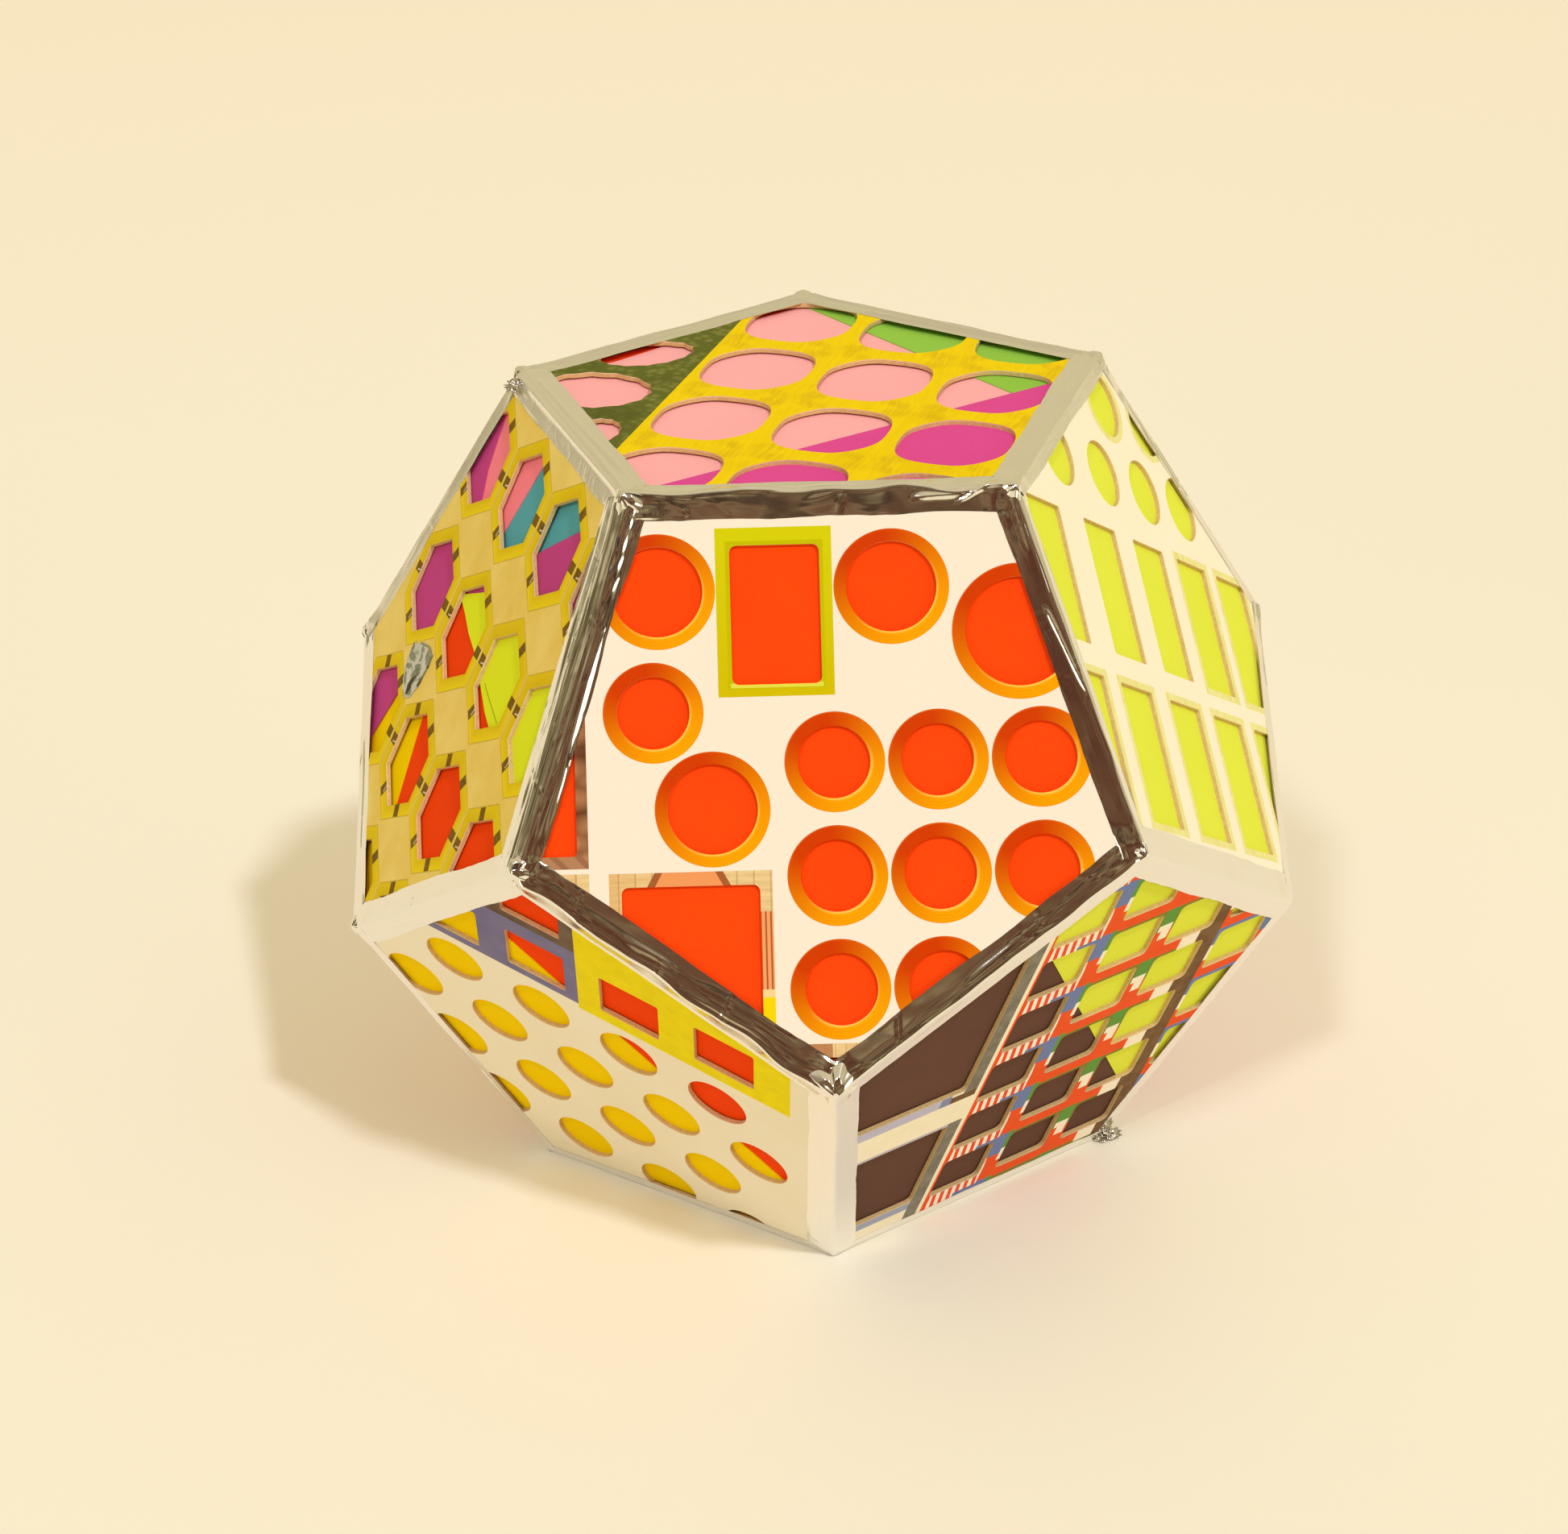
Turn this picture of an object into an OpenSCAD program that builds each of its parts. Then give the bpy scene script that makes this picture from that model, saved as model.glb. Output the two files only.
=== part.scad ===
// Hollow closed dodecahedron made by hand from twelve pentagons of punched game board.
// Each pentagon has coloured card behind its punched holes, and foil tape joins all thirty edges.
// Units are millimetres, +Z is up. The base face lies on z = 0 and the front face looks to -Y.

/* [Overall] */
// Edge length of the dodecahedron
edge = 110; // [60:1:200]
// Thickness of the punched greyboard
board_t = 1.5; // [1:0.1:3]
// Thickness of each backing card
card_t = 0.3; // [0.2:0.1:0.8]
// Thickness of the foil tape
tape_t = 0.1; // [0.05:0.05:0.3]

/* [Edges] */
// Usual width of tape on each side of an edge
tape_w = 8; // [4:0.5:12]
// Gap left between neighbouring boards at their inner edges
seam = 0.2; // [0:0.1:1]
// Unpunched rim kept under the tape, measured from the edge line
rim = 2.6; // [2:0.1:4]
// Margin from the edge line to a backing card
card_margin = 3; // [3:0.5:12]

/* [Front board] */
// Hole diameter of the large rings
ring_l_d = 25.5; // [15:0.5:30]
// Hole diameter of the single extra-large ring
ring_xl_d = 30.8; // [20:0.1:36]
// Hole diameter of the small rings
ring_s_d = 20.5; // [12:0.5:26]
// Column pitch of the small rings
ring_col = 29.2; // [22:0.1:40]
// Row pitch of the small rings
ring_row = 32; // [22:0.5:40]

/* [Left board] */
// Height of each hexagon hole, point to point
hex_h = 32.5; // [20:0.5:36]
// Pitch between hexagon columns
hex_col = 37.8; // [32:0.1:50]
// Pitch between hexagon rows
hex_row = 44.5; // [38:0.5:60]

/* [Right board] */
// Short side of the tile holes
tile_w = 22.6; // [12:0.1:28]
// Long side of the tile holes
tile_h = 42.5; // [24:0.5:48]
// Angle of the tile rows
tile_turn = -34.5; // [-45:0.5:0]
// Diameter of the round token holes
token_d = 21; // [12:0.5:24]

/* [Top board] */
// Width of the rounded holes
blob_w = 33; // [20:0.5:36]
// Height of the rounded holes
blob_h = 36; // [22:0.5:42]
// Pitch along a row of rounded holes
blob_col = 37.5; // [34:0.1:50]
// Pitch between rows of rounded holes
blob_row = 43.2; // [38:0.5:60]
// Angle of the rows
blob_turn = -19.5; // [-45:0.5:45]

/* [Lower boards] */
// Diameter of the disc holes
disc_d = 20; // [10:0.5:26]
// Pitch between disc holes
disc_pitch = 30.5; // [24:0.5:40]
// Side of the square cell holes
cell = 20; // [12:0.5:23]
// Column pitch of the cell holes
cell_col = 26.8; // [22:0.1:36]
// Row pitch of the cell holes
cell_row = 25; // [22:0.1:36]

/* [Hidden] */
$fn = 96;
golden = (1 + sqrt(5)) / 2;
dihedral = 180 - atan(2);
apothem = edge / (2 * tan(36));
circumradius = edge / (2 * sin(36));
inradius = edge * golden * golden / (2 * sqrt(3 - golden));
// square-cut boards meet at their inner edges, so each outer outline is set back by this much
set_back = board_t / golden + seam;
// a strip stops just short of the corner points, so that the three strips there stay apart
strip_l = edge - 4 * tape_t;
// measured patterns are for a 110 mm edge and grow with it
grow = edge / 110;

foil = [0.80, 0.79, 0.75];
card_red = [1.00, 0.24, 0.07];
card_lime = [0.86, 0.92, 0.18];
card_yellow = [0.96, 0.80, 0.05];
card_brown = [0.33, 0.23, 0.18];
card_pink = [1.00, 0.66, 0.65];
card_purple = [0.80, 0.27, 0.60];
card_green = [0.57, 0.82, 0.28];
card_teal = [0.30, 0.62, 0.62];

// azimuth of each face: the upper ring tilts up by 63.4 degrees, the lower ring down
UPPER = 180 - dihedral;
LOWER = dihedral;
FRONT = -90;
RIGHT = -18;
BACK_RIGHT = 54;
BACK_LEFT = 126;
LEFT = 198;
LOWER_LEFT = -126;
LOWER_RIGHT = -54;
LOWER_BACK_RIGHT = 18;
LOWER_BACK = 90;
LOWER_BACK_LEFT = 162;

// ---------- placing ----------

// moves children drawn on a face, X right, Y up and Z out, to a face of the solid;
// the whole solid stands on the base tape, so it is lifted by the tape's thickness
module on_face(tilt, azimuth) {
    translate([0, 0, inradius + tape_t])
        rotate([0, tilt, azimuth])
            rotate([0, 0, 90])
                translate([0, 0, inradius])
                    children();
}

// regular pentagon by apothem, with a corner up or down
module pentagon(a, up) {
    rotate([0, 0, up ? 90 : -90])
        circle(r = a / cos(36), $fn = 5);
}

// one punched board: children are its holes, kept off the rim
module board(up) {
    translate([0, 0, -board_t])
        linear_extrude(height = board_t)
            difference() {
                pentagon(apothem - set_back, up);
                intersection() {
                    pentagon(apothem - rim, up);
                    scale([grow, grow]) children();
                }
            }
}

// one backing card on the given layer behind the board, limited to the region drawn as children
module card(up, layer) {
    translate([0, 0, -board_t - card_t * (layer + 1)])
        linear_extrude(height = card_t)
            intersection() {
                pentagon(apothem - card_margin, up);
                scale([grow, grow]) children();
            }
}

// everything on a face
module whole() {
    square(400, center = true);
}

// ---------- hole shapes ----------

// outline of a rectangle with rounded corners
function rounded(w, h, r) = [
    for (q = [0:3], a = [0:18:90])
        let (sx = q == 0 || q == 3 ? 1 : -1, sy = q < 2 ? 1 : -1)
            [sx * (w / 2 - r), sy * (h / 2 - r)] + r * [cos(a + 90 * q), sin(a + 90 * q)]
];

module rounded_rect(w, h, r = 1.5) {
    polygon(rounded(w, h, r));
}

// rectangle from two opposite corners
module window(p, q, r = 1.5) {
    translate((p + q) / 2)
        rounded_rect(abs(q[0] - p[0]), abs(q[1] - p[1]), r);
}

// pebble outline, tighter at two opposite corners
function pebble(w, h) = [
    for (a = [0:9:351])
        let (n = 2 / (2.55 + 0.5 * sin(2 * a)), c = cos(a), s = sin(a))
            [w / 2 * sign(c) * pow(abs(c), n), h / 2 * sign(s) * pow(abs(s), n)]
];

module blob() {
    polygon(pebble(blob_w, blob_h));
}

// leaf outline with shallow scallops
function scalloped(w, h, lobes) = [
    for (a = [0:6:354])
        let (r = 1 - 0.055 * abs(sin(lobes * a / 2)))
            [w / 2 * r * cos(a), h / 2 * r * sin(a)]
];

module leaf(w = 37, h = 31) {
    polygon(scalloped(w, h, 14));
}

module hexagon() {
    rotate([0, 0, 90])
        circle(d = hex_h, $fn = 6);
}

// rows by columns of children, centred on the given point
module lattice(from, cols, rows, dx, dy) {
    for (i = cols)
        for (j = rows)
            translate([from[0] + i * dx, from[1] + j * dy])
                children();
}

// ---------- hole patterns ----------

module front_holes() {
    for (p = [[-46.5, 48.5], [19.4, 48.5], [-32.5, -13]])
        translate(p) circle(d = ring_l_d);
    translate([55.3, 35]) circle(d = ring_xl_d);
    translate([-48.5, 14.5]) circle(d = ring_s_d);
    lattice([2, -0.5], [0:2], [0:1], ring_col, -ring_row) circle(d = ring_s_d);
    lattice([2.5, -64.5], [0:1], [0:0], ring_col, -ring_row) circle(d = ring_s_d);
    window([-26, 21.8], [-0.7, 61], 2);
    window([-58.7, -90], [-19.7, -34.4], 2);
    window([-100, -25.3], [-70.9, 18]);
    window([-8, -95], [7, -83.6], 1);
}

module left_holes() {
    for (j = [0:3])
        lattice([-50 - 0.8 * j, 47.5 - j * hex_row], [0:3], [0:0], hex_col, 0)
            hexagon();
}

module right_holes() {
    rotate([0, 0, tile_turn]) {
        for (x = [-70.5, -31.5, 3.8, 37, 68.2])
            translate([x, 9.7]) rounded_rect(tile_w, tile_h, 1);
        for (x = [-67, -33.2, 2.2, 35.5, 67.9])
            translate([x, -41.8]) rounded_rect(tile_w, tile_h, 1);
        for (x = [-50.1, -17.9, 12.5, 40.4])
            translate([x, 50]) circle(d = token_d);
        for (x = [-4.3, 25.6])
            translate([x, 75.5]) circle(d = token_d);
    }
}

module top_holes() {
    rotate([0, 0, blob_turn])
        lattice([-23.2, 18], [0:2], [-2:1], blob_col, blob_row)
            blob();
    translate([-66, 10]) rotate([0, 0, -12]) leaf();
    translate([-50, 40.5]) rotate([0, 0, 20]) leaf(31, 21);
    translate([-65, -25]) rotate([0, 0, -20]) leaf(16, 23);
}

module lower_left_holes() {
    rotate([0, 0, -21])
        for (j = [0:3])
            lattice(
                [-56.2 - disc_pitch / 2 * (j % 2), 11 - 25.3 * j],
                [-1:3 + j % 2], [0:0], disc_pitch, 0
            )
                circle(d = disc_d);
    rotate([0, 0, -18.5]) {
        for (x = [-55.5, -25.5, 6.5, 38.4])
            translate([x, 40.6]) rounded_rect(cell, cell, 1);
        translate([-26, 71.5]) rounded_rect(cell, cell, 1);
    }
}

module lower_right_holes() {
    window([-100, -4], [-29, 90]);
    window([-67, -62.7], [-29, -22]);
    lattice([-11.5, 69.5], [0:3], [0:5], cell_col, -cell_row)
        rounded_rect(cell, cell - 1, 2);
}

// the six faces turned away: plain arrays of the same shapes
module back_right_holes() {
    lattice([-60, -60], [0:4], [0:4], 30, 30) circle(d = ring_l_d - 2);
}

module back_left_holes() {
    rotate([0, 0, 18]) lattice([-74, -62], [0:4], [0:3], blob_col, blob_row) blob();
}

module lower_back_right_holes() {
    rotate([0, 0, 12]) lattice([-72, -56], [0:4], [0:2], 34.7, 51.5) rounded_rect(tile_w, tile_h, 1);
}

module lower_back_holes() {
    lattice([-67, -62.5], [0:5], [0:5], cell_col, cell_row) rounded_rect(cell, cell - 1, 2);
}

module lower_back_left_holes() {
    lattice([-76, -66], [0:4], [0:3], hex_col, hex_row) hexagon();
}

module base_holes() {
    for (j = [-2:2])
        lattice([-4 * disc_pitch - disc_pitch / 2 * (j % 2), 26 * j], [0:8], [0:0], disc_pitch, 0)
            circle(d = disc_d);
}

// ---------- boards ----------

module board_top() {
    color([0.92, 0.78, 0.05])
        on_face(0, FRONT)
            board(true) top_holes();
}

module board_front() {
    color([0.98, 0.94, 0.84])
        on_face(UPPER, FRONT)
            board(false) front_holes();
}

module board_left() {
    color([0.88, 0.77, 0.42])
        on_face(UPPER, LEFT)
            board(false) left_holes();
}

module board_right() {
    color([0.98, 0.95, 0.86])
        on_face(UPPER, RIGHT)
            board(false) right_holes();
}

module board_back_left() {
    color([0.80, 0.70, 0.30])
        on_face(UPPER, BACK_LEFT)
            board(false) back_left_holes();
}

module board_back_right() {
    color([0.95, 0.93, 0.88])
        on_face(UPPER, BACK_RIGHT)
            board(false) back_right_holes();
}

module board_lower_left() {
    color([0.97, 0.93, 0.84])
        on_face(LOWER, LOWER_LEFT)
            board(true) lower_left_holes();
}

module board_lower_right() {
    color([0.90, 0.84, 0.76])
        on_face(LOWER, LOWER_RIGHT)
            board(true) lower_right_holes();
}

module board_lower_back_left() {
    color([0.86, 0.76, 0.45])
        on_face(LOWER, LOWER_BACK_LEFT)
            board(true) lower_back_left_holes();
}

module board_lower_back() {
    color([0.90, 0.85, 0.78])
        on_face(LOWER, LOWER_BACK)
            board(true) lower_back_holes();
}

module board_lower_back_right() {
    color([0.95, 0.93, 0.86])
        on_face(LOWER, LOWER_BACK_RIGHT)
            board(true) lower_back_right_holes();
}

module board_base() {
    color([0.93, 0.90, 0.82])
        on_face(180, FRONT)
            board(true) base_holes();
}

// ---------- backing cards ----------

module card_top_purple() {
    color(card_purple)
        on_face(0, FRONT)
            card(true, 0)
                polygon([[-120, -111.5], [120, 39.5], [120, -200], [-120, -200]]);
}

module card_top_green() {
    color(card_green)
        on_face(0, FRONT)
            card(true, 1)
                polygon([[-2, 88.6], [62, 0.6], [96, -45.6], [150, 3.6], [60, 133.6]]);
}

module card_top_pink() {
    color(card_pink)
        on_face(0, FRONT)
            card(true, 2)
                polygon([
                    [-70, 33.2], [-59, 40.2], [-49, 48.7], [-30, 65.2], [0, 86.7], [120, 64.2], [60, -120],
                    [-120, -120], [-120, 9.2]
                ]);
}

module card_top_red() {
    color(card_red)
        on_face(0, FRONT)
            card(true, 3)
                polygon([[-120, -20], [-120, 60], [0, 120], [20, 75], [-60, 15]]);
}

module card_front_red() {
    color(card_red)
        on_face(UPPER, FRONT)
            card(false, 0)
                whole();
}

module card_left_lime() {
    color(card_lime)
        on_face(UPPER, LEFT)
            card(false, 0)
                polygon([
                    [-29.7, 8.6], [-27.7, 10.1], [-11.7, 17.6], [-2.7, 23.1], [57.3, 25.1],
                    [107.3, 25.1], [107.3, -20.9], [59.3, -18.4], [33.3, -10.7], [22.3, -7.9],
                    [12.3, -4.1], [-1.7, 0.9], [-12.7, 3.3], [-20.7, 6.1]
                ]);
}

module card_left_purple() {
    color(card_purple)
        on_face(UPPER, LEFT)
            card(false, 1)
                polygon([
                    [-123.3, 99], [-59.3, 99], [-55.3, 63], [-50.8, 44], [-43.3, 31.5],
                    [-23.3, 27.5], [0.7, 31.5], [14.7, 43], [36.7, 59], [50.7, 69], [106.7, 39],
                    [106.7, 21], [56.7, 21], [-3.3, 19], [-13.3, 11.5], [-31.3, 11.5],
                    [-36.3, 5], [-39.3, -13], [-45.3, -28], [-53.3, -53], [-63.3, -91],
                    [-123.3, -91]
                ]);
}

module card_left_pink() {
    color(card_pink)
        on_face(UPPER, LEFT)
            card(false, 2)
                polygon([
                    [-61.8, 78.8], [-44.8, 78.8], [-41.3, 58.8], [-36.8, 47.8], [-31.8, 47.8],
                    [-31.8, 78.8], [-6.8, 78.8], [-21.8, 27.8], [-63.8, 27.8]
                ]);
}

module card_left_red() {
    color(card_red)
        on_face(UPPER, LEFT)
            card(false, 2)
                polygon([
                    [-34.8, 13.8], [106.2, 13.8], [106.2, -101.2], [8.2, -101.2], [-0.8, -75.2],
                    [-11.8, -57.2], [-20.8, -29.2], [-28.8, -15.2], [-34.8, -7.2]
                ]);
}

module card_left_teal() {
    color(card_teal)
        on_face(UPPER, LEFT)
            card(false, 3)
                polygon([
                    [-49.4, 20.6], [-49.4, 78.6], [43.6, 78.6], [43.6, 20.6]
                ]);
}

module card_left_yellow() {
    color(card_yellow)
        on_face(UPPER, LEFT)
            card(false, 3)
                polygon([
                    [-70.4, -13.4], [-9.4, -13.4], [3.6, -73.4], [9.6, -101.4], [-70.4, -61.4]
                ]);
}

module card_right_lime() {
    color(card_lime)
        on_face(UPPER, RIGHT)
            card(false, 0)
                whole();
}

module card_back_left_teal() {
    color(card_teal)
        on_face(UPPER, BACK_LEFT)
            card(false, 0)
                whole();
}

module card_back_right_yellow() {
    color(card_yellow)
        on_face(UPPER, BACK_RIGHT)
            card(false, 0)
                whole();
}

module card_lower_left_yellow() {
    color(card_yellow)
        on_face(LOWER, LOWER_LEFT)
            card(true, 0)
                polygon([[-60.3, 105.6], [-20.1, 51], [46.5, -39.2], [93.3, -102.4], [-150, -100]]);
}

module card_lower_left_red() {
    color(card_red)
        on_face(LOWER, LOWER_LEFT)
            card(true, 1)
                whole();
}

module card_lower_right_lime() {
    color(card_lime)
        on_face(LOWER, LOWER_RIGHT)
            card(true, 0)
                polygon([[-64.7, 120], [-17, 52.1], [44.6, -36.7], [90.1, -102.5], [150, 0], [80, 130]]);
}

module card_lower_right_brown() {
    color(card_brown)
        on_face(LOWER, LOWER_RIGHT)
            card(true, 1)
                whole();
}

module card_lower_back_left_pink() {
    color(card_pink)
        on_face(LOWER, LOWER_BACK_LEFT)
            card(true, 0)
                whole();
}

module card_lower_back_red() {
    color(card_red)
        on_face(LOWER, LOWER_BACK)
            card(true, 0)
                whole();
}

module card_lower_back_right_purple() {
    color(card_purple)
        on_face(LOWER, LOWER_BACK_RIGHT)
            card(true, 0)
                whole();
}

module card_base_green() {
    color(card_green)
        on_face(180, FRONT)
            card(true, 0)
                whole();
}

// ---------- tape ----------

// wing of one strip on one face: X along the edge, Y in across the face, ends on the corner bisectors
module wing(w) {
    linear_extrude(height = tape_t)
        polygon([
            [-strip_l / 2, 0], [strip_l / 2, 0],
            [strip_l / 2 - w / tan(54), w], [-strip_l / 2 + w / tan(54), w]
        ]);
}

// the narrow bend of a strip that joins its two wings
module bend() {
    out = 270 - dihedral;
    rotate([90, 0, 90])
        linear_extrude(height = strip_l, center = true)
            polygon([[0, 0], [tape_t * cos(out), tape_t * sin(out)], [0, tape_t]]);
}

// strip over one edge; side is the direction of the edge from the face centre
module strip(tilt, azimuth, side, here = tape_w, there = tape_w) {
    on_face(tilt, azimuth)
        rotate([0, 0, side + 90])
            translate([0, -apothem, 0]) {
                wing(here);
                bend();
                rotate([-dihedral, 0, 0])
                    mirror([0, 0, 1])
                        wing(there);
            }
}

module tape_top_front() {
    color(foil) strip(UPPER, FRONT, 90, tape_w * 0.875, tape_w * 0.9375);
}

module tape_top_right() {
    color(foil) strip(UPPER, RIGHT, 90, tape_w * 0.5625, tape_w);
}

module tape_top_back_right() {
    color(foil) strip(UPPER, BACK_RIGHT, 90);
}

module tape_top_back_left() {
    color(foil) strip(UPPER, BACK_LEFT, 90);
}

module tape_top_left() {
    color(foil) strip(UPPER, LEFT, 90, tape_w * 0.875, tape_w * 1.0625);
}

module tape_front_right() {
    color(foil) strip(UPPER, FRONT, 18, tape_w * 0.875, tape_w * 0.5625);
}

module tape_right_back_right() {
    color(foil) strip(UPPER, RIGHT, 18, tape_w * 0.5625, tape_w);
}

module tape_back_right_back_left() {
    color(foil) strip(UPPER, BACK_RIGHT, 18);
}

module tape_back_left_left() {
    color(foil) strip(UPPER, BACK_LEFT, 18, tape_w, tape_w * 0.8125);
}

module tape_left_front() {
    color(foil) strip(UPPER, LEFT, 18, tape_w * 1.375, tape_w * 0.875);
}

module tape_front_lower_left() {
    color(foil) strip(UPPER, FRONT, -126, tape_w * 0.875, tape_w * 1.25);
}

module tape_front_lower_right() {
    color(foil) strip(UPPER, FRONT, -54, tape_w * 0.875, tape_w);
}

module tape_right_lower_right() {
    color(foil) strip(UPPER, RIGHT, -126, tape_w * 1.125, tape_w);
}

module tape_right_lower_back_right() {
    color(foil) strip(UPPER, RIGHT, -54, tape_w * 0.625, tape_w);
}

module tape_back_right_lower_back_right() {
    color(foil) strip(UPPER, BACK_RIGHT, -126);
}

module tape_back_right_lower_back() {
    color(foil) strip(UPPER, BACK_RIGHT, -54);
}

module tape_back_left_lower_back() {
    color(foil) strip(UPPER, BACK_LEFT, -126);
}

module tape_back_left_lower_back_left() {
    color(foil) strip(UPPER, BACK_LEFT, -54);
}

module tape_left_lower_back_left() {
    color(foil) strip(UPPER, LEFT, -126, tape_w * 0.875, tape_w);
}

module tape_left_lower_left() {
    color(foil) strip(UPPER, LEFT, -54, tape_w * 0.875, tape_w);
}

module tape_lower_left_lower_right() {
    color(foil) strip(LOWER, LOWER_LEFT, -18, tape_w * 1.125, tape_w);
}

module tape_lower_right_lower_back_right() {
    color(foil) strip(LOWER, LOWER_RIGHT, -18, tape_w * 0.625, tape_w);
}

module tape_lower_back_left_lower_left() {
    color(foil) strip(LOWER, LOWER_BACK_LEFT, -18, tape_w, tape_w * 0.5);
}

// the two identical strips between the rear lower boards
module tape_lower_rear() {
    color(foil)
        for (azimuth = [LOWER_BACK_RIGHT, LOWER_BACK])
            strip(LOWER, azimuth, -18);
}

// the five identical strips round the base
module tape_base() {
    color(foil)
        for (azimuth = [LOWER_LEFT:72:LOWER_BACK_LEFT])
            strip(LOWER, azimuth, -90, tape_w / 2, tape_w);
}

// torn scrap of foil stuck on the left board
module foil_patch() {
    color(foil)
        on_face(UPPER, LEFT)
            linear_extrude(height = tape_t)
                scale([grow, grow])
                    polygon([
                        [-45, -13.5], [-42.5, -14.5], [-39.5, -12], [-32, -10.6], [-27.4, -11.6],
                        [-26.8, -15], [-28.5, -22.5], [-31, -27.5], [-35, -29.8], [-39.5, -28.6],
                        [-44, -23.5], [-46, -18]
                    ]);
}

// ---------- parts list ----------

board_top();
board_front();
board_left();
board_right();
board_back_left();
board_back_right();
board_lower_left();
board_lower_right();
board_lower_back_left();
board_lower_back();
board_lower_back_right();
board_base();
card_top_purple();
card_top_green();
card_top_pink();
card_top_red();
card_front_red();
card_left_lime();
card_left_purple();
card_left_pink();
card_left_red();
card_left_teal();
card_left_yellow();
card_right_lime();
card_back_left_teal();
card_back_right_yellow();
card_lower_left_yellow();
card_lower_left_red();
card_lower_right_lime();
card_lower_right_brown();
card_lower_back_left_pink();
card_lower_back_red();
card_lower_back_right_purple();
card_base_green();
tape_top_front();
tape_top_right();
tape_top_back_right();
tape_top_back_left();
tape_top_left();
tape_front_right();
tape_right_back_right();
tape_back_right_back_left();
tape_back_left_left();
tape_left_front();
tape_front_lower_left();
tape_front_lower_right();
tape_right_lower_right();
tape_right_lower_back_right();
tape_back_right_lower_back_right();
tape_back_right_lower_back();
tape_back_left_lower_back();
tape_back_left_lower_back_left();
tape_left_lower_back_left();
tape_left_lower_left();
tape_lower_left_lower_right();
tape_lower_right_lower_back_right();
tape_lower_back_left_lower_left();
tape_lower_rear();
tape_base();
foil_patch();
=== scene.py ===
import bpy
import math
import random

import numpy as np
from mathutils import Matrix, Vector, noise


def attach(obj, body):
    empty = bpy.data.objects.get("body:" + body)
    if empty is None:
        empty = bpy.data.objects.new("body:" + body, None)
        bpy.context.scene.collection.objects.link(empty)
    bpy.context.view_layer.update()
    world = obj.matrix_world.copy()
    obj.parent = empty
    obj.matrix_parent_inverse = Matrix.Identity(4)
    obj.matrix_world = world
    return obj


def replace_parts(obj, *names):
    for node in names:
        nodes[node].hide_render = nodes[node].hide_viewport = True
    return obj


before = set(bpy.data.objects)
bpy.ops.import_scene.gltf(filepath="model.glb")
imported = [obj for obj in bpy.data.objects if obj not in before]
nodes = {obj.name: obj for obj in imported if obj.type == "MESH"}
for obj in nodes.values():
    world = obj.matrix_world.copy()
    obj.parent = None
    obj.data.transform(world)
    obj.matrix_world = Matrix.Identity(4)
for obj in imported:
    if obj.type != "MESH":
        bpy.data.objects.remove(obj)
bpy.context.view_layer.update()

# ---------------------------------------------------------------- the solid's own measures, in metres

EDGE = 0.110
# the tape under the base lifts the boards by its thickness
LIFT = 0.0001
GOLDEN = (1 + 5**0.5) / 2
APOTHEM = EDGE / (2 * math.tan(math.radians(36)))
INRADIUS = EDGE * GOLDEN**2 / (2 * math.sqrt(3 - GOLDEN))
UPPER = math.degrees(math.atan(2))
LOWER = 180 - UPPER
DIHEDRAL = math.radians(LOWER)
CENTRE = np.array([0, 0, INRADIUS + LIFT])

# each face: tilt of its normal from +Z, and azimuth
FACES = {
    "top": (0, -90),
    "front": (UPPER, -90),
    "right": (UPPER, -18),
    "back_right": (UPPER, 54),
    "back_left": (UPPER, 126),
    "left": (UPPER, 198),
    "lower_left": (LOWER, -126),
    "lower_right": (LOWER, -54),
    "lower_back_right": (LOWER, 18),
    "lower_back": (LOWER, 90),
    "lower_back_left": (LOWER, 162),
    "base": (180, -90),
}


def face_axes(face):
    """Centre, right, up and outward directions of a face, seen from outside."""
    tilt, azimuth = (math.radians(a) for a in FACES[face])
    out = np.array([math.sin(tilt) * math.cos(azimuth), math.sin(tilt) * math.sin(azimuth), math.cos(tilt)])
    up = -np.array([math.cos(tilt) * math.cos(azimuth), math.cos(tilt) * math.sin(azimuth), -math.sin(tilt)])
    right = np.array([-math.sin(azimuth), math.cos(azimuth), 0.0])
    return CENTRE + out * INRADIUS, right, up, out


# ---------------------------------------------------------------- arithmetic on shader values


def feed(value, socket):
    """Gives an input its value: a Num or a socket by a link, a plain number or colour directly."""
    if isinstance(value, Num):
        value = value.socket
    if isinstance(value, bpy.types.NodeSocket):
        Num.tree.links.new(value, socket)
    else:
        socket.default_value = value


class Num:
    """A value inside a node tree: arithmetic on it adds Math nodes."""

    tree = None

    def __init__(self, socket):
        self.socket = socket

    @staticmethod
    def op(kind, *args, clamp=False):
        node = Num.tree.nodes.new("ShaderNodeMath")
        node.operation = kind
        node.use_clamp = clamp
        for i, a in enumerate(args):
            feed(a, node.inputs[i])
        return Num(node.outputs[0])

    def __add__(self, b):
        return Num.op("ADD", self, b)

    def __sub__(self, b):
        return Num.op("SUBTRACT", self, b)

    def __rsub__(self, b):
        return Num.op("SUBTRACT", b, self)

    def __mul__(self, b):
        return Num.op("MULTIPLY", self, b)

    def __truediv__(self, b):
        return Num.op("DIVIDE", self, b)

    def __lt__(self, b):
        return Num.op("LESS_THAN", self, b)

    def __gt__(self, b):
        return Num.op("GREATER_THAN", self, b)

    __radd__ = __add__
    __rmul__ = __mul__


def absolute(a):
    return Num.op("ABSOLUTE", a)


def nearest(a):
    return Num.op("ROUND", a)


def larger(a, b):
    return Num.op("MAXIMUM", a, b)


def smaller(a, b):
    return Num.op("MINIMUM", a, b)


def clamped(a, lo=0.0, hi=1.0):
    return smaller(larger(a, lo), hi)


def root(a):
    return Num.op("SQRT", a)


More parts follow.
